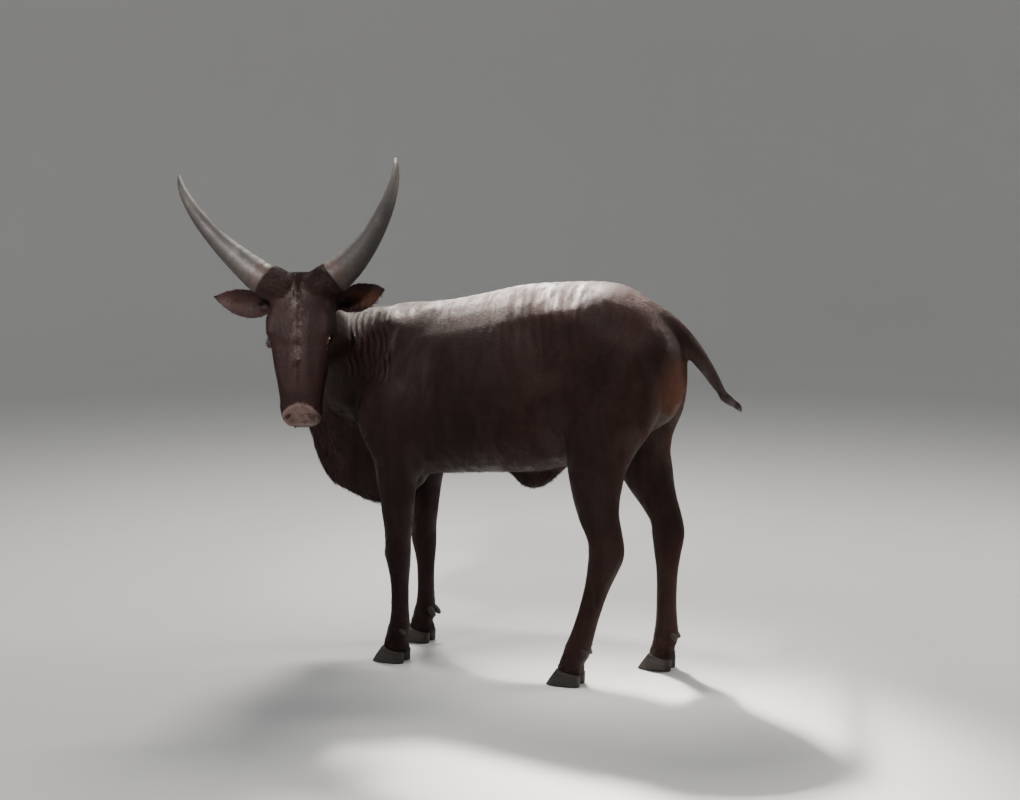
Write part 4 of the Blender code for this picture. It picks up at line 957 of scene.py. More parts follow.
class Finish:
    """A procedural material: a Principled surface with fixed numbers, and nodes for what changes."""

    def __init__(self, name, fixed):
        """Make the material and set the numbers that are the same all over it."""
        self.material = bpy.data.materials.new(name)
        self.material.use_nodes = True
        self.tree = self.material.node_tree
        self.surface = self.tree.nodes["Principled BSDF"]
        self.set_inputs(self.surface, fixed)

    def set_inputs(self, made, inputs):
        """Set or link the sockets of a node."""
        for key, value in inputs.items():
            if isinstance(value, Number):
                self.tree.links.new(value.socket, made.inputs[key])
            else:
                made.inputs[key].default_value = value

    def node(self, kind, settings, inputs, output=0):
        """One node of the given type: its settings first, then its sockets; gives one of its outputs."""
        made = self.tree.nodes.new(kind)
        for key, value in settings.items():
            if key == "stops":
                ramp = made.color_ramp
                while len(ramp.elements) < len(value):
                    ramp.elements.new(1.0)
                for element, (place, colour) in zip(ramp.elements, value):
                    element.position = place
                    element.color = (*colour, 1.0)
            else:
                setattr(made, key, value)
        self.set_inputs(made, inputs)
        return Number(self, made.outputs[output])

    def place(self, size=(1.0, 1.0, 1.0), turn=(0.0, 0.0, 0.0)):
        """Object coordinates, turned and then stretched."""
        spot = self.node("ShaderNodeTexCoord", {}, {}, 3)
        turned = self.node("ShaderNodeMapping", {"vector_type": 'POINT'}, {0: spot, "Rotation": turn})
        return self.node("ShaderNodeMapping", {"vector_type": 'POINT'}, {0: turned, "Scale": size})

    def noise(self, vector, scale, detail=3.0, rough=0.55, twist=0.0):
        """Soft noise between 0 and 1."""
        return self.node("ShaderNodeTexNoise", {}, {"Vector": vector, "Scale": scale, "Detail": detail,
                                                    "Roughness": rough, "Distortion": twist})

    def mark(self, name):
        """The number that the mesh carries under this name."""
        return self.node("ShaderNodeAttribute", {"attribute_name": name}, {}, 2)

    def blend(self, factor, low, high):
        """A colour between two, by a factor."""
        return self.node("ShaderNodeMix", {"data_type": 'RGBA'}, {0: factor, 6: low, 7: high}, 2)

    def ramp(self, factor, *stops):
        """A colour read from a row of stops."""
        return self.node("ShaderNodeValToRGB", {"stops": stops}, {0: factor})

    def between(self, value, low, high):
        """The value carried from between low and high to between 0 and 1, smoothly and held there."""
        return self.node("ShaderNodeMapRange", {"interpolation_type": 'SMOOTHSTEP'},
                         {"Value": value, "From Min": low, "From Max": high})

    def bumped(self, height, distance, strength=1.0):
        """Tilt the surface by a height, so many metres high."""
        normal = self.node("ShaderNodeBump", {}, {"Height": height, "Distance": distance,
                                                  "Strength": strength})
        self.set_inputs(self.surface, {"Normal": normal})


def rgba(colour):
    """A colour with full alpha."""
    return (*colour, 1.0)


def coat_finish(look):
    """Short glossy hair: streaks along the lie of the coat, with reddish, dull and bare places, painted
    sunlight on the thighs' rear, painted shade in the ears' cups, on the front of the body and on the face
    beside the nose's ridge, and bands where the ribs show."""
    finish = Finish(COAT_NAME, {"Sheen Weight": look.sheen, "Sheen Roughness": 0.35,
                                "Sheen Tint": rgba((0.80, 0.62, 0.56)), "Specular IOR Level": 0.22,
                                "Specular Tint": rgba((1.0, 0.86, 0.80))})
    legs = finish.mark("legs")
    face = finish.mark("face")
    back = finish.noise(finish.place((26.0, 150.0, 110.0)), 2.2, 4.0, 0.62)
    down = finish.noise(finish.place((150.0, 150.0, 26.0)), 2.2, 4.0, 0.62)
    streak = back + (down - back) * finish.between(legs + face, 0.2, 0.8)
    clump = finish.noise(finish.place(), 9.0, 4.0, 0.6)
    broad = finish.noise(finish.place(), 2.4, 3.0, 0.5)
    fine = finish.noise(finish.place(), 420.0, 2.0, 0.6)
    shade = finish.between(streak * 0.45 + clump * 0.30 + broad * 0.25, 0.30, 0.70)
    colour = finish.blend(shade, rgba(look.dark), rgba(look.light))
    warm = finish.between(finish.mark("warm") * (0.55 + streak), 0.18, 0.95)
    colour = finish.blend(warm, colour, rgba(look.warm))
    # Painted shade in the cups of the ears: their deep middles are darkened toward the dark coat colour.
    colour = finish.blend(finish.mark("cave") * 0.85, colour, rgba(look.dark))
    gloss = finish.mark("gloss")
    # Painted shade: the front of the body and the face beside the nose's ridge are darkened toward the dark
    # coat colour.
    dim = finish.mark("front") * 0.60 + face * (1.0 - gloss) * 0.35
    colour = finish.blend(dim, colour, rgba(look.dark))
    pad = finish.mark("bare")
    patch = finish.noise(finish.place(), 60.0, 3.0, 0.6)
    muzzle = finish.blend(finish.between(patch, 0.20, 0.60), rgba(look.pad_dark), rgba(look.muzzle))
    muzzle = finish.blend(finish.mark("rim") * 0.75, muzzle, rgba(look.pad_rim))
    colour = finish.blend(pad * (0.55 + patch * 0.8), colour, muzzle)
    rough = finish.between(streak * 0.5 + clump * 0.5, 0.25, 0.75) * 0.14 + look.rough
    rough = rough + (0.36 - rough) * pad - gloss * 0.22 + face * (1.0 - gloss) * 0.09
    cobble = finish.node("ShaderNodeTexVoronoi", {"feature": 'DISTANCE_TO_EDGE'},
                         {"Vector": finish.place(), "Scale": 260.0})
    dapple = finish.noise(finish.place((24.0, 9.0, 9.0)), 1.0, 3.0, 0.6, 0.5)
    rough = rough + finish.between(dapple, 0.40, 0.58) * (1.0 - face) * (1.0 - pad) * 0.26
    ribs = finish.mark("ribs")
    wave = finish.node("ShaderNodeTexWave", {"wave_type": 'BANDS', "bands_direction": 'X'},
                       {"Vector": finish.place(turn=(0.0, 0.23, 0.0)), "Scale": 8.7, "Distortion": 2.2,
                        "Detail": 2.0, "Detail Scale": 1.6}, 1)
    rough = rough + (1.0 - wave) * ribs * 0.12
    height = streak * 0.75 + fine * 0.12 + clump * 0.35 + dapple * 1.30 + wave * ribs * 1.20
    height = height + (finish.between(cobble, 0.0, 0.25) * 0.6 - height) * pad
    finish.set_inputs(finish.surface, {"Base Color": colour, "Roughness": rough})
    finish.bumped(height, 0.0035, 0.55)
    return finish.material


def horn_finish(look):
    """Horn: pinkish brown at the root, grey above, paler below the tip, with lines along it, and painted
    shade that darkens the underside and keeps the pale patches off it."""
    finish = Finish("ringed_horn", {"Specular IOR Level": 0.32, "Subsurface Weight": 0.04,
                                    "Subsurface Radius": (0.010, 0.006, 0.004)})
    rise = finish.mark("rise")
    turn = finish.mark("turn")
    grain = finish.noise(finish.place(), 55.0, 5.0, 0.65)
    along = finish.node("ShaderNodeCombineXYZ", {}, {0: turn * 7.0, 1: rise * 5.0})
    lines = finish.noise(along, 9.0, 4.0, 0.6)
    colour = finish.ramp(rise + (grain - 0.5) * 0.10, (0.00, look.root), (0.10, look.root),
                         (0.22, look.shaft), (0.62, look.shaft), (0.85, look.pale), (0.97, look.tip))
    worn = finish.noise(finish.place(), 16.0, 4.0, 0.65)
    under = finish.mark("under")
    colour = finish.blend(finish.between(lines, 0.34, 0.70) * 0.70, colour, rgba(look.streak))
    # Painted shade: the pale patches stay off the underside, and the underside is darkened toward the streak
    # colour.
    colour = finish.blend(finish.between(worn, 0.50, 0.72) * (1.0 - under) * 0.55, colour, rgba(look.pale))
    colour = finish.blend(under * 0.75, colour, rgba(look.streak))
    finish.set_inputs(finish.surface, {
        "Base Color": colour, "Roughness": 0.42 + finish.between(grain, 0.3, 0.7) * 0.16 + under * 0.16})
    finish.bumped(grain * 0.4 + lines * 0.6, 0.0016, 0.6)
    return finish.material


def hoof_finish(look):
    """Claw horn: dark grey-brown with fine lines down it and growth bands across."""
    finish = Finish("claw_horn", {"Specular IOR Level": 0.45})
    lines = finish.noise(finish.place((210.0, 210.0, 18.0)), 1.6, 3.0, 0.6)
    bands = finish.noise(finish.place((7.0, 7.0, 230.0), (0.0, -0.20, 0.0)), 1.0, 3.0, 0.6, 0.4)
    worn = finish.noise(finish.place(), 34.0, 4.0, 0.6)
    shade = lines * 0.18 + bands * 0.42 + worn * 0.40
    colour = finish.blend(finish.between(shade, 0.36, 0.66), rgba(look.claw_dark), rgba(look.hoof))
    finish.set_inputs(finish.surface, {"Base Color": colour, "Roughness": 0.46 + worn * 0.25})
    finish.bumped(lines * 0.25 + bands, 0.0018, 0.6)
    return finish.material


def eye_finish():
    """A wet dark eye: brown iris with a long pupil, and a dim white at the corners."""
    finish = Finish("wet_eye", {"Roughness": 0.12, "Coat Weight": 0.6, "Coat Roughness": 0.04,
                                "Specular IOR Level": 0.4})
    a = finish.mark("eye_along")
    b = finish.mark("eye_up")
    across = (a * a + b * b) ** 0.5
    round_it = finish.node("ShaderNodeCombineXYZ", {}, {0: a / (across + 0.05), 1: b / (across + 0.05)})
    spokes = finish.noise(round_it, 7.0, 3.0, 0.6)
    iris = finish.blend(spokes, rgba((0.020, 0.008, 0.004)), rgba((0.075, 0.030, 0.014)))
    pupil = ((a * 2.3) ** 2.0 + (b * 4.6) ** 2.0) ** 0.5
    colour = finish.blend(finish.between(pupil, 0.85, 1.05), rgba((0.003, 0.003, 0.004)), iris)
    white = finish.blend(spokes, rgba((0.075, 0.050, 0.042)), rgba((0.130, 0.100, 0.088)))
    colour = finish.blend(finish.between(across, 0.68, 0.76), colour, white)
    finish.set_inputs(finish.surface, {"Base Color": colour})
    return finish.material


def plain_finish(name, colour, rough):
    """A quiet matt surface with a faint mottle, for the floor and its backdrop."""
    finish = Finish(name, {"Specular IOR Level": 0.2})
    mottle = finish.noise(finish.place(), 3.0, 4.0, 0.6)
    low = tuple(0.97 * part for part in colour)
    finish.set_inputs(finish.surface, {"Base Color": finish.blend(mottle, rgba(low), rgba(colour)),
                                       "Roughness": rough + mottle * 0.05})
    return finish.material


def form_cells():
    """For the middle of every cell of every form: its place, the way the hair lies, its two steps along
    the form, where it is on the unwrap, and the size of a step there."""
    rows = []
    for name, (rings, way) in FORMS.items():
        left, low, right, high = UNWRAP[name]
        count, sides = rings.shape[:2]
        along = np.gradient(rings, axis=0)
        around = (np.roll(rings, -1, axis=1) - np.roll(rings, 1, axis=1)) / 2.0
        i, k = np.meshgrid(np.arange(count), np.arange(sides), indexing="ij")
        u = left + (right - left) * (k + 0.5) / sides
        v = low + (high - low) * (i + 0.5) / count
        steps = np.broadcast_to(((right - left) / sides, (high - low) / count), (count, sides, 2))
        rows.append(np.concatenate([rings, unit(along) * way, along, around, u[..., None], v[..., None],
                                    steps], axis=2).reshape(-1, 16))
    return np.concatenate(rows)


def nearest(points, spots):
    """The number of the spot that is nearest to each point, worked out a block of points at a time."""
    spots = spots.astype(np.float32)
    size = (spots ** 2).sum(axis=1)
    found = [np.argmin(size - 2.0 * block.astype(np.float32) @ spots.T, axis=1)
             for block in np.array_split(points, max(1, len(points) // 4000))]
    return np.concatenate(found)


def lie_and_unwrap(points, out):
    """Which way the hair lies at each place, along the skin, and the place's own spot on the unwrap."""
    cells = form_cells()
    cell = cells[nearest(points, cells[:, :3])]
    middle, lie, along, around, spot, size = np.split(cell, (3, 6, 9, 12, 14), axis=1)
    away = points - middle
    i = (away * along).sum(1) / np.maximum((along ** 2).sum(1), 1e-9)
    k = (away * around).sum(1) / np.maximum((around ** 2).sum(1), 1e-9)
    spot = spot + size * np.clip(np.stack([k, i], axis=1), -0.5, 0.5)
    trunk = ease(0.60, 0.86, points[:, 2]) * ease(-0.56, -0.42, points[:, 0])
    for start, end in zip(TAIL[3:-1], TAIL[4:]):
        trunk = trunk * ease(0.035, 0.060, line_distance(points, start[:3], end[:3]))
    lie = lie + (TRUNK_LIE - lie) * trunk[:, None]
    lie = unit(lie - out * (lie * out).sum(1)[:, None])
    return lie, spot


def skin_spots(skin, share, count, rng):
    """Random places on the skin, more of them where the share is high: place and normal of each."""
    mesh = skin.data
    mesh.calc_loop_triangles()
    corners = np.empty(len(mesh.loop_triangles) * 3, np.int32)
    mesh.loop_triangles.foreach_get("vertices", corners)
    corners = corners.reshape(-1, 3)
    rows, out = places(skin), normals(skin)
    a, b, c = (rows[corners[:, k]] for k in range(3))
    area = np.linalg.norm(np.cross(b - a, c - a), axis=1) * np.maximum(share(rows)[corners].mean(axis=1), 0.0)
    chosen = rng.choice(len(area), count, p=area / area.sum())
    s, t = rng.random(count), rng.random(count)
    over = s + t > 1.0
    s, t = np.where(over, 1.0 - s, s), np.where(over, 1.0 - t, t)
    mix = np.stack([1.0 - s - t, s, t], axis=1)[..., None]
    return (rows[corners[chosen]] * mix).sum(axis=1), unit((out[corners[chosen]] * mix).sum(axis=1))


def strands(name, root, path, side, out, width, spot, height=0.55, smooth=True):
    """Closed tapered three-sided strands along the given paths, each w (1 - 0.45 t^1.5) wide, ending in a
    point; on the unwrap each is a small patch at its root's own spot."""
    count, rings = path.shape[0], path.shape[1] - 1
    t = (np.arange(rings) / rings)[None, :, None]
    grow = np.broadcast_to(width, count)[:, None, None] * (1.0 - 0.45 * t ** 1.5)
    low = path[:, :-1]
    body = np.stack([low - side * grow, low + side * grow, low + out * grow * height], axis=2)
    points = np.concatenate([body.reshape(count, -1, 3), path[:, -1:]], axis=1)
    size = 3 * rings + 1
    start = (np.arange(count) * size)[:, None]
    k = np.arange(3)
    j = (k + 1) % 3
    ring = (np.arange(rings - 1) * 3)[:, None]
    quads = np.stack([ring + k, ring + j, ring + 3 + j, ring + 3 + k], axis=-1).reshape(-1)
    ends = np.stack([3 * rings - 3 + k, 3 * rings - 3 + j, np.full(3, 3 * rings)], axis=-1).reshape(-1)
    faces = [(start + quads).reshape(-1, 4), (start + ends).reshape(-1, 3),
             (start + np.array((2, 1, 0))).reshape(-1, 3)]
    piece = new_piece(name, points.reshape(-1, 3), faces, smooth)
    local = np.append(np.repeat(np.arange(rings), 3) / rings - 0.5, 0.5)
    cross = np.append(np.tile((-0.5, 0.5, 0.0), rings), 0.0)
    patch = spot[:, None] + PATCH * np.stack([cross, local], axis=1)[None]
    corners = np.empty(len(piece.data.loops), np.int32)
    piece.data.loops.foreach_get("vertex_index", corners)
    flat = piece.data.uv_layers.new(name="OFBake")
    flat.data.foreach_set("uv", patch.reshape(-1, 2)[corners].astype(np.float32).ravel())
    carry_values(piece, {word: np.repeat(numbers, size) for word, numbers in marks(root, out[:, 0]).items()})
    return piece


def tufts(name, root, out, lie, spot, length, width, lift, sag=0.0, sway=0.0, rings=2, **form):
    """Strands along root + lie L t + out lift sin(2.4 t) + side sway sin(pi t) - up sag tt, their roots
    sunk in the skin."""
    count = len(root)
    t = (np.arange(rings + 1) / rings)[None, :, None]
    length, lift, sag, sway = (np.broadcast_to(value, count)[:, None, None]
                               for value in (length, lift, sag, sway))
    side = unit(np.cross(out, lie))[:, None]
    out, lie = out[:, None], lie[:, None]
    path = (root[:, None] - out * SUNK + lie * length * t + out * (lift + SUNK) * np.sin(2.4 * t)
            + side * sway * np.sin(np.pi * t) - np.array((0.0, 0.0, 1.0)) * sag * t * t)
    return strands(name, root, path, side, out, width, spot, **form)


def tint(name, description, default):
    """A colour that a user can change."""
    return FloatVectorProperty(name=name, description=description, subtype='COLOR', default=default)


class SteerCoat(bpy.types.PropertyGroup):
    """Sizes and colours of the skin and its coat."""

    depth: FloatProperty(name="Coat depth", description="How far the skin lies inside the coat's surface",
                         default=0.0016, unit='LENGTH')
    grain: FloatProperty(name="Skin grain", description="Size of the skin's faces before it is thinned",
                         default=0.0034, unit='LENGTH')
    faces: IntProperty(name="Skin triangles", description="How many triangles the skin is thinned to",
                       default=166000)
    hairs: IntProperty(name="Body tufts", description="Tufts of short hair over the body in each piece",
                       default=16000)
    dark: tint("Dark coat", "Colour in the depth of the coat", (0.0060, 0.0022, 0.0019))
    light: tint("Light coat", "Colour where the coat catches light", (0.0330, 0.0118, 0.0098))
    # On the thighs' rear this reddish colour is partly painted sunlight.
    warm: tint("Reddish coat", "Colour of the thighs' rear and ear insides", (0.0700, 0.0190, 0.0065))
    muzzle: tint("Muzzle", "Colour of the bare muzzle pad", (0.1250, 0.0780, 0.0660))
    pad_dark: tint("Muzzle spots", "Colour of the darker spots on the muzzle", (0.0480, 0.0280, 0.0240))
    pad_rim: tint("Muzzle rim", "Colour of the light line above the nostrils", (0.2200, 0.1550, 0.1350))
    rough: FloatProperty(name="Roughness", description="How matt the smoothest hair is", default=0.40)
    sheen: FloatProperty(name="Sheen", description="Soft light along the coat's edges", default=0.01)


class SteerHorns(bpy.types.PropertyGroup):
    """Sizes and colours of the horns and claws."""

    rings: IntProperty(name="Growth rings", description="Rings around the foot of each horn", default=9)
    ridge: FloatProperty(name="Ring height", description="How far a growth ring stands out",
                         default=0.0011, unit='LENGTH')
    root: tint("Horn root", "Colour beside the hair", (0.080, 0.047, 0.036))
    shaft: tint("Horn shaft", "Colour over most of the horn", (0.066, 0.058, 0.053))
    pale: tint("Horn pale part", "Colour below the tip", (0.135, 0.120, 0.104))
    tip: tint("Horn tip", "Colour at the very tip", (0.100, 0.085, 0.070))
    # This colour also paints the shade under each horn.
    streak: tint("Horn streaks", "Colour of the lines along the horn", (0.026, 0.021, 0.018))
    hoof: tint("Claws", "Colour of the claws", (0.046, 0.034, 0.027))
    claw_dark: tint("Dark claws", "Colour in the claws' darker bands", (0.013, 0.010, 0.008))


class SteerStudio(bpy.types.PropertyGroup):
    """The camera and its light."""

    place: FloatVectorProperty(name="Camera", description="Where the camera stands", subtype='XYZ',
                               unit='LENGTH', default=(2.17834, -4.79443, 1.5))
    turn: FloatProperty(name="Camera turn", description="How far the view turns to the left of +Y",
                        subtype='ANGLE', default=math.radians(23.0))
    drop: FloatProperty(name="Camera drop", description="How far the view points down", subtype='ANGLE',
                        default=math.atan(185.0 / 1560.0))
    lens: FloatProperty(name="Lens", description="Focal length on a sensor 36 mm wide", default=55.06)
    floor: tint("Floor", "Colour of the floor and backdrop", (0.70, 0.69, 0.67))


FLESH = ["torso", "neck", "dewlap", "sheath", "tail", "head", "ear_left", "ear_right"]
FLESH += [place + part for place in FEET for part in ("_upper_leg", "_lower_leg")]


def coat_material(context):
    """The coat's material, made once."""
    return bpy.data.materials.get(COAT_NAME) or coat_finish(context.scene.steer_coat)


class STEER_OT_skin(bpy.types.Operator):
    """Model one skin over all the flesh, with its lids, nostrils, lips and folds"""

    bl_idname = "steer.skin"
    bl_label = "Skin"

    def execute(self, context):
        """Join the forms into one skin, smooth it, carve it, and thin it where it is plain."""
        look = context.scene.steer_coat
        skin = self.joined(look.grain)
        sculpted(skin, body_strokes() + head_strokes())
        with_neck_folds(skin)
        set_places(skin, places(skin) - normals(skin) * look.depth)
        self.thin(skin, look.faces)
        refined(skin, fine_places(in_head(places(skin))))
        set_places(skin, with_eyes(places(skin)))
        with_muzzle(skin)
        skin.data.polygons.foreach_set("use_smooth", np.full(len(skin.data.polygons), True))
        carry_values(skin, marks(places(skin), normals(skin)))
        return {'FINISHED'}

    def joined(self, grain):
        """All the forms and both eyeballs' lids as one skin, smoothed less on the head and feet."""
        grids = [rings for rings, _ in FORMS.values()]
        for side in SIDES.values():
            grids.append(ball_rings(on_head(sided(EYE, side)), LEFT, EYE_RADIUS + LID, 24, 16))
        skin = ring_piece("skin", grids)
        remesh = skin.modifiers.new("Remesh", 'REMESH')
        remesh.mode = 'VOXEL'
        remesh.voxel_size = grain
        baked(skin)
        rows = places(skin)
        far = np.linalg.norm(rows - on_head((0.20, 0.0, -0.08)), axis=1)
        soft = np.clip((far - 0.22) / 0.10, 0.22, 1.0) * np.clip((rows[:, 2] - 0.10) / 0.45, 0.12, 1.0)
        smooth = skin.modifiers.new("Smooth", 'SMOOTH')
        smooth.factor = 0.5
        smooth.iterations = int(10 * (0.009 / grain) ** 2)
        smooth.vertex_group = weigh(skin, "soft", soft)
        return baked(skin)

    def thin(self, skin, triangles):
        """Thin the skin to about this many triangles, with the head hardly thinned."""
        far = np.linalg.norm(in_head(places(skin)) - (0.24, 0.0, -0.08), axis=1) - 0.24
        fewer = skin.modifiers.new("Decimate", 'DECIMATE')
        fewer.ratio = min(1.0, triangles / (2.0 * len(skin.data.polygons)))
        fewer.vertex_group = weigh(skin, "thin", 0.05 + 0.95 * ease(0.02, 0.10, far))
        baked(skin)


class STEER_OT_coat(bpy.types.Operator):
    """Lay tufts of short hair over the skin, along the lie of the coat"""

    bl_idname = "steer.coat"
    bl_label = "Coat"

    def execute(self, context):
        """Scatter thin tufts by area, smaller on the head and feet, in several pieces."""
        look = context.scene.steer_coat
        skin = bpy.data.objects["skin"]
        rng = np.random.default_rng(41)

        def share(rows):
            """More on the face, and none on the bare pad, in the eyes and past the hair around the horns."""
            local = in_head(rows)
            clear = np.ones(len(rows))
            for side in SIDES.values():
                away = local - sided(EYE + (0.0, 0.012, 0.008), side)
                clear *= ease(0.022, 0.034, np.linalg.norm(away, axis=1))
                near = np.linalg.norm(local - sided(HORN_FOOT, side), axis=1) < 0.075
                clear = np.where(near, clear * ease(0.002, -0.006, past_hair(local, side)), clear)
            # Neither of the two marks depends on the normals, so the places stand in for them.
            here = marks(rows, rows)
            return clear * (1.0 - here["bare"]) * (1.0 + 3.0 * here["face"])

        for number in range(4):
            root, out = skin_spots(skin, share, look.hairs, rng)
            lie, spot = lie_and_unwrap(root, out)
            small = np.minimum(ease(0.10, 0.32, root[:, 2]), 1.0 - 0.75 * marks(root, out)["face"])
            small = (0.45 + 0.55 * small) * (1.0 - 0.6 * ear_tip(in_head(root)))
            lie = unit(lie + 0.22 * np.cross(out, lie) * rng.normal(size=(look.hairs, 1)))
            length = rng.uniform(0.015, 0.026, look.hairs) * small
            coat = tufts(f"coat_{number + 1}", root, out, lie, spot, length,
                         rng.uniform(0.0011, 0.0019, look.hairs) * small,
                         rng.uniform(0.0010, 0.0020, look.hairs) * small, 0.0,
                         rng.normal(0.0, 0.0012, look.hairs), height=0.30, smooth=False)
            settle(coat, coat_material(context), "coat")
        return {'FINISHED'}


class STEER_OT_switch(bpy.types.Operator):
    """Grow the long hair of the tail's switch"""

    bl_idname = "steer.switch"
    bl_label = "Switch"

    def execute(self, context):
        """Root long locks around the end of the tail; each follows the tail and hangs a little."""
        rng = np.random.default_rng(7)
        fill = 10
        table = filled(SWITCH, fill)
        step = unit(np.gradient(table[:, :3], axis=0))
        count, rings = 2400, 7
        last = len(table) - 1.0
        start = rng.beta(1.15, 1.5, count) * (len(SWITCH) - 2.3) * fill
        end = start + rng.uniform(1.0, 2.6, count) * fill
        end = np.clip(end, 0.0, last - rng.beta(1.0, 3.0, count) * fill)
        end = np.maximum(end, start + 0.5 * fill)
        at = start[:, None] + (end - start)[:, None] * np.arange(rings + 1) / rings
        knots = np.arange(last + 1.0)
        centre, tangent = (np.stack([np.interp(at, knots, rows[:, k]) for k in range(3)], axis=-1)
                           for rows in (table[:, :3], step))
        turn = 0.25 * rng.normal(size=(count, 1)) * np.arange(rings + 1)
        turn = turn + rng.uniform(0.0, 2.0 * np.pi, count)[:, None]
        side = unit(np.cross(tangent, (0.0, 0.0, 1.0)))
        other = np.cross(side, tangent)
        away = side * np.cos(turn)[..., None] + other * np.sin(turn)[..., None]
        t = np.arange(rings + 1) / rings
        full = np.interp(at, knots, table[:, 3])
        spread = full * (0.35 + 0.60 * t ** 0.7) * rng.uniform(0.40, 1.10, count)[:, None]
        path = centre + away * spread[..., None] - np.array((0.0, 0.0, 1.0)) * (0.010 * t ** 2)[None, :, None]
        path += 0.0016 * rng.normal(size=(count, 1, 3)) * np.sin(np.pi * t)[None, :, None]
        left, low, right, high = UNWRAP["tail"]
        spot = np.stack([left + (right - left) * (turn[:, 0] / (2.0 * np.pi) % 1.0),
                         low + (high - low) * (0.55 + 0.45 * start / last)], axis=1)
        out = away[:, :-1]
        locks = strands("switch_locks", path[:, 0], path, np.cross(tangent[:, :-1], out), out,
                        rng.uniform(0.0009, 0.0017, count), spot)
        settle(locks, coat_material(context), "switch", "tail_switch")
        return {'FINISHED'}


class STEER_OT_fringes(bpy.types.Operator):
    """Set longer tufts where hair breaks the outline: ears, poll, sheath, belly, dewlap and coronets"""

    bl_idname = "steer.fringes"
    bl_label = "Fringes"

    def execute(self, context):
        """One piece for each place, with its own share of the skin and its own lengths."""
        skin = bpy.data.objects["skin"]
        rng = np.random.default_rng(19)

        def ear_share(rows):
            """Both ears, out from their roots."""
            local = in_head(rows)
            side = np.abs(local[:, 1])
            return ease(0.118, 0.135, side) * (local[:, 0] > 0.03) * (local[:, 2] < -0.055)

        def poll_share(rows):
            """Between and in front of the horns."""
            local = in_head(rows)
            return bell(local[:, 0] - 0.010, 0.045) * bell(local[:, 1], 0.060) * (local[:, 2] > -0.10)

        def belly_share(rows):
            """Along the middle of the belly, the sheath and the dewlap's free edge."""
            x, y, z = rows.T
            belly = bell(y, 0.030) * ease(0.70, 0.66, z) * (x > -0.30) * (x < 0.20)
            edge = bell(y + 0.02, 0.05) * ease(-0.70, -0.76, x)
            edge = edge + bell(y, 0.03) * ease(0.56, 0.53, z) * (x < -0.4)
            return belly * ease(0.30, 0.45, z) + edge * (z > 0.45) * (in_head(rows)[:, 2] < -0.2)

        def coronet_share(rows):
            """Round the line where the claws begin, and behind the fetlocks."""
            z = rows[:, 2]
            return ease(0.080, 0.060, z) + 0.35 * bell(z - 0.105, 0.018)

        for name, share, count, length, width, lift, sag in (
                ("ear_fringe", ear_share, 6400, (0.008, 0.015), 0.0008, 0.0012, 0.001),
                ("poll_tuft", poll_share, 2200, (0.012, 0.022), 0.0012, 0.0020, 0.0),
                ("belly_fringe", belly_share, 2600, (0.014, 0.032), 0.0012, 0.0030, 0.006),
                ("coronet_fringe", coronet_share, 3600, (0.010, 0.018), 0.0011, 0.0020, 0.002)):
            root, out = skin_spots(skin, share, count, rng)
            lie, spot = lie_and_unwrap(root, out)
            lie = unit(lie + 0.25 * np.cross(out, lie) * rng.normal(size=(count, 1)))
            size = 1.0 - 0.6 * ear_tip(in_head(root))
            fringe = tufts(name, root, out, lie, spot, rng.uniform(*length, count) * size,
                           rng.uniform(0.7, 1.2, count) * width, rng.uniform(0.4, 1.1, count) * lift,
                           rng.uniform(0.5, 1.0, count) * sag, rng.normal(0.0, 0.002, count), 4)
            settle(fringe, coat_material(context), "coat")
        # The skin itself is moved last, once every tuft has been rooted in it.
        settle(skin, coat_material(context), "coat", *FLESH)
        return {'FINISHED'}


class STEER_OT_eyes(bpy.types.Operator):
    """Set both eyes in their lids, with lashes"""

    bl_idname = "steer.eyes"
    bl_label = "Eyes"

    def execute(self, context):
        """A ball whose front swells to a cornea: r = R (0.985 + 0.035 exp(-(b / 0.55) squared))."""
        material = eye_finish()
        for word, side in SIDES.items():
            centre, along, up, out = eye_axes(side)
            b = np.linspace(0.01, np.pi - 0.01, 40)[:, None, None]
            a = 2.0 * np.pi * np.arange(48)[None, :, None] / 48
            radius = EYE_RADIUS * (0.985 + 0.035 * bell(b, 0.55))
            rings = centre + radius * (out * np.cos(b) + (along * np.cos(a) + up * np.sin(a)) * np.sin(b))
            eye = ring_piece("eyeball_" + word, [on_head(rings)])
            local = (in_head(places(eye)) - centre) / EYE_RADIUS
            carry_values(eye, {"eye_along": local @ along, "eye_up": local @ up})
            settle(eye, material, "eye", "eye_" + word)
        self.lashes(context)
        return {'FINISHED'}

    def lashes(self, context):
        """Lashes along the upper lid, from corner to corner, curving up and out."""
        rng = np.random.default_rng(3)
        count = 90
        roots, outs, lies, spots = [], [], [], []
        for side in SIDES.values():
            centre, along, up, out = eye_axes(side)
            turn = rng.uniform(0.12, 0.92, count) * np.pi
            a = OPENING[0] * 1.02 * np.cos(turn)
            b = OPENING[1] * 1.05 * np.sin(turn) ** 1.1
            depth = np.sqrt(np.maximum((EYE_RADIUS + 0.0028) ** 2 - a ** 2 - b ** 2, 0.0))
            root = centre + np.outer(a, along) + np.outer(b, up) + np.outer(depth, out)
            lie = unit(out + 0.05 * up + 0.7 * np.outer(a / OPENING[0], along))
            roots.append(on_head(root))
            lies.append(lie @ HEAD[:3, :3].T)
            outs.append(np.broadcast_to(up @ HEAD[:3, :3].T, root.shape))
            spots.append(np.stack([0.1 + 0.1 * turn / np.pi, np.full(count, 0.55 + 0.02 * side)], axis=1))
        lashes = tufts("lashes", np.concatenate(roots), np.concatenate(outs), np.concatenate(lies),
                       np.concatenate(spots), rng.uniform(0.006, 0.010, 2 * count), 0.00035,
                       rng.uniform(0.001, 0.003, 2 * count), 0.0, rng.normal(0.0, 0.0008, 2 * count), 4)
        settle(lashes, coat_material(context), "coat")


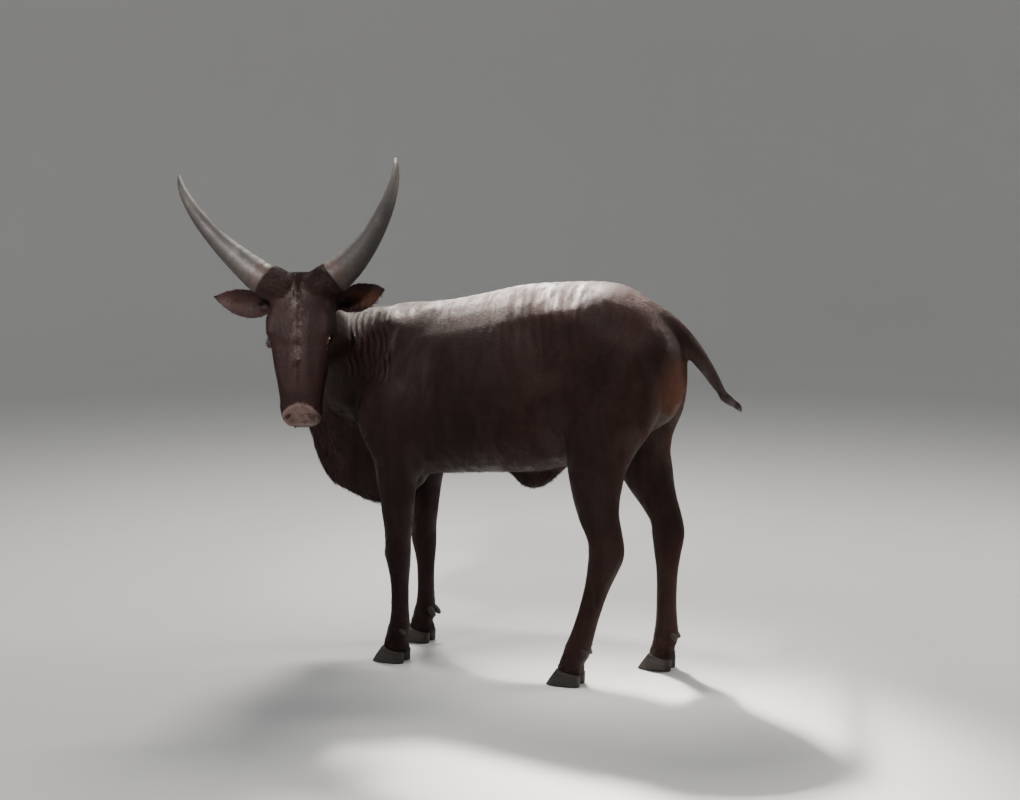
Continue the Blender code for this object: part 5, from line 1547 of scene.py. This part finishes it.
class STEER_OT_horns(bpy.types.Operator):
    """Make both horns, with growth rings at the root and a smooth tip"""

    bl_idname = "steer.horns"
    bl_label = "Horns"

    def execute(self, context):
        """Carry a round profile along the horn's path; rings swell it by ridge |sin| that fades upward."""
        look = context.scene.steer_horns
        material = horn_finish(look)
        for word, side in SIDES.items():
            rows = filled(horn_rows(side), 24)
            steps = np.linalg.norm(np.diff(rows[:, :3], axis=0), axis=1)
            length = np.concatenate([[0.0], np.cumsum(steps)])
            foot = np.searchsorted(np.abs(rows[:, 1]), 0.080)
            rows, length = rows[foot:], length[foot:]
            rise = (length - length[0]) / (length[-1] - length[0])
            fade = ease(0.55, 0.05, rise)
            radius = rows[:, 3] * 0.985
            radius = radius + look.ridge * fade * (np.abs(np.sin(np.pi * look.rings * rise / 0.5)) - 0.5)
            radius = (radius - 0.0016 * bell(rise - 0.03, 0.02))[:, None]
            sides = 48
            rings = carried(np.hstack([on_head(rows[:, :3]), radius, radius, radius]), OUT, sides, 1, 2.0)
            hidden = ease(0.0035, -0.0035, past_hair(in_head(rings), side))[..., None]
            rings = rings + (rings.mean(axis=1, keepdims=True) - rings) * 0.14 * hidden
            turn = np.tile(np.abs(np.linspace(-1.0, 1.0, sides, endpoint=False)), (len(rows), 1))
            tip = on_head(rows[-1:, :3] + (rows[-1:, :3] - rows[-2:-1, :3]) * 0.8)
            tips = tip + (rings[-1:] - rings[-1:].mean(axis=1, keepdims=True)) * 0.35
            horn = ring_piece("horn_skin_" + word, [np.concatenate([rings, tips])])
            rise = np.append(rise, 1.0)
            turn = np.vstack([turn, turn[-1:]])
            # The under mark: how far each place faces down, for the painted shade under the horn.
            carry_values(horn, {"rise": np.repeat(rise, sides), "turn": turn.ravel(),
                                "under": ease(0.30, -0.45, normals(horn)[:, 2])})
            settle(horn, material, "horn", "horn_" + word)
        return {'FINISHED'}


class STEER_OT_claws(bpy.types.Operator):
    """Make the two claws and two dewclaws of every foot"""

    bl_idname = "steer.claws"
    bl_label = "Claws"

    def execute(self, context):
        """Claws are rings of a superellipse, narrower to the toe, cut along the sloping coronet."""
        material = hoof_finish(context.scene.steer_horns)
        for place, foot in FEET.items():
            outer = math.copysign(1.0, foot[1])
            for word, side in (("outer", outer), ("inner", -outer)):
                name = f"{place}_{word}"
                claw = ring_piece(name + "_hoof", [self.claw(foot, side)])
                settle(claw, material, "hoof", name + "_claw")
                spur = ring_piece(name + "_spur", [self.dewclaw(foot, side, FETLOCKS[place])])
                settle(spur, material, "hoof", name + "_dewclaw")
        return {'FINISHED'}

    def claw(self, foot, side):
        """Rings of one claw: x + l cos a, side offset + w sin a with the toe drawn in, height."""
        sides = 40
        x, z, length, wide = filled(CLAW, 5).T[:, :, None]
        c, s = superellipse(sides, 2.3)
        nose = np.where(c < 0.0, 1.0 - 0.22 * c ** 2, 1.0)
        band = 1.0 - 0.010 * np.abs(np.sin((z - 0.225 * length * c) * 190.0))
        rings = np.stack([x + length * band * c + 0.0 * z,
                          side * 0.0242 + wide * band * s * nose + side * 0.005 * np.maximum(-c, 0.0),
                          z + 0.0 * c], axis=2)
        rings[..., :2] += (foot[0] - 0.004, foot[1])
        rings[..., 2] = np.minimum(rings[..., 2], coronet(rings[..., 0], foot))
        return rings

    def dewclaw(self, foot, side, fetlock):
        """Rings of a small blunt claw carried on a straight path down and back."""
        x, z = fetlock
        start = np.array((x + 0.010, foot[1] + side * 0.014, z + 0.016))
        path = unit(np.array((0.66, side * 0.22, -0.72)))
        d, r = filled(SPUR, 4).T
        table = np.stack([*(start[:, None] + path[:, None] * d), r, r * 0.8, r * 0.8], axis=1)
        return carried(table, (0.0, 1.0, 0.0), 20, 1, 2.0)


class STEER_OT_studio(bpy.types.Operator):
    """Set the camera, a plain pale floor with a curved backdrop, and soft light"""

    bl_idname = "steer.studio"
    bl_label = "Studio"

    def execute(self, context):
        """Lights from above and behind for the gloss of the back, and weaker ones from the camera's side."""
        look = context.scene.steer_studio
        self.floor(look)
        self.camera(context, look)
        for light in LIGHTS:
            self.light(*light)
        world = bpy.data.worlds.new("studio")
        world.use_nodes = True
        world.node_tree.nodes["Background"].inputs["Color"].default_value = (0.86, 0.89, 0.93, 1.0)
        world.node_tree.nodes["Background"].inputs["Strength"].default_value = 0.38
        context.scene.world = world
        return {'FINISHED'}

    def floor(self, look):
        """A round floor, flat out to its edge, which turns up through a quarter circle to a wall."""
        flat, bend, wall, sides = 8.5, 3.0, 9.0, 96
        turn = np.linspace(0.0, np.pi / 2.0, 14)
        reach = np.concatenate([np.linspace(0.4, flat, 10), flat + bend * np.sin(turn[1:]), [flat + bend]])
        rise = np.concatenate([np.zeros(10), bend * (1.0 - np.cos(turn[1:])), [wall]])
        angle = 2.0 * np.pi * np.arange(sides) / sides
        rings = np.stack([np.outer(reach, np.cos(angle)), np.outer(reach, np.sin(angle)),
                          np.repeat(rise[:, None], sides, axis=1) - 0.0004], axis=2)
        floor = new_piece("studio_floor", rings.reshape(-1, 3), grid_faces(*rings.shape[:2])[:2])
        floor.data.materials.append(plain_finish("floor", look.floor, 0.85))

    def camera(self, context, look):
        """The camera of the picture, 1020 by 800."""
        data = bpy.data.cameras.new("camera")
        data.sensor_width = 36.0
        data.lens = look.lens
        data.clip_end = 200.0
        camera = bpy.data.objects.new("camera", data)
        camera.location = look.place
        camera.rotation_euler = (math.radians(90.0) - look.drop, 0.0, look.turn)
        context.scene.collection.objects.link(camera)
        context.scene.camera = camera

    def light(self, name, place, target, size, power, colour, spread):
        """A square area light that faces its target, with its beam as many degrees wide as it spreads."""
        data = bpy.data.lights.new(name, 'AREA')
        data.size = size
        data.energy = power
        data.color = colour
        data.spread = math.radians(spread)
        light = bpy.data.objects.new(name, data)
        light.location = place
        light.rotation_euler = (Vector(target) - Vector(place)).to_track_quat('-Z', 'Y').to_euler()
        bpy.context.scene.collection.objects.link(light)


class STEER_PT_panel(bpy.types.Panel):
    """Lists the pieces of the steer, in the order that they are made"""

    bl_label = "Steer"
    bl_space_type = 'VIEW_3D'
    bl_region_type = 'UI'
    bl_category = "Steer"

    def draw(self, context):
        """A button for each piece, then the sizes and colours."""
        for operator in PIECES:
            self.layout.operator(operator.bl_idname)
        for name in GROUPS:
            group = getattr(context.scene, name)
            for word in group.__annotations__:
                self.layout.prop(group, word)


GROUPS = {"steer_coat": SteerCoat, "steer_horns": SteerHorns, "steer_studio": SteerStudio}
PIECES = (STEER_OT_skin, STEER_OT_coat, STEER_OT_switch, STEER_OT_fringes, STEER_OT_eyes,
          STEER_OT_horns, STEER_OT_claws, STEER_OT_studio)


def register():
    """Add the classes and the groups of sizes to Blender."""
    for group in GROUPS.values():
        bpy.utils.register_class(group)
    for name, group in GROUPS.items():
        setattr(bpy.types.Scene, name, PointerProperty(type=group))
    for piece in (*PIECES, STEER_PT_panel):
        bpy.utils.register_class(piece)


def unregister():
    """Take the classes and the groups of sizes out of Blender again."""
    for piece in reversed((*PIECES, STEER_PT_panel)):
        bpy.utils.unregister_class(piece)
    for name, group in GROUPS.items():
        delattr(bpy.types.Scene, name)
        bpy.utils.unregister_class(group)


def main():
    """Make every piece in order."""
    register()
    bpy.ops.steer.skin()
    bpy.ops.steer.coat()
    bpy.ops.steer.switch()
    bpy.ops.steer.fringes()
    bpy.ops.steer.eyes()
    bpy.ops.steer.horns()
    bpy.ops.steer.claws()
    bpy.ops.steer.studio()


if __name__ == "__main__":
    main()
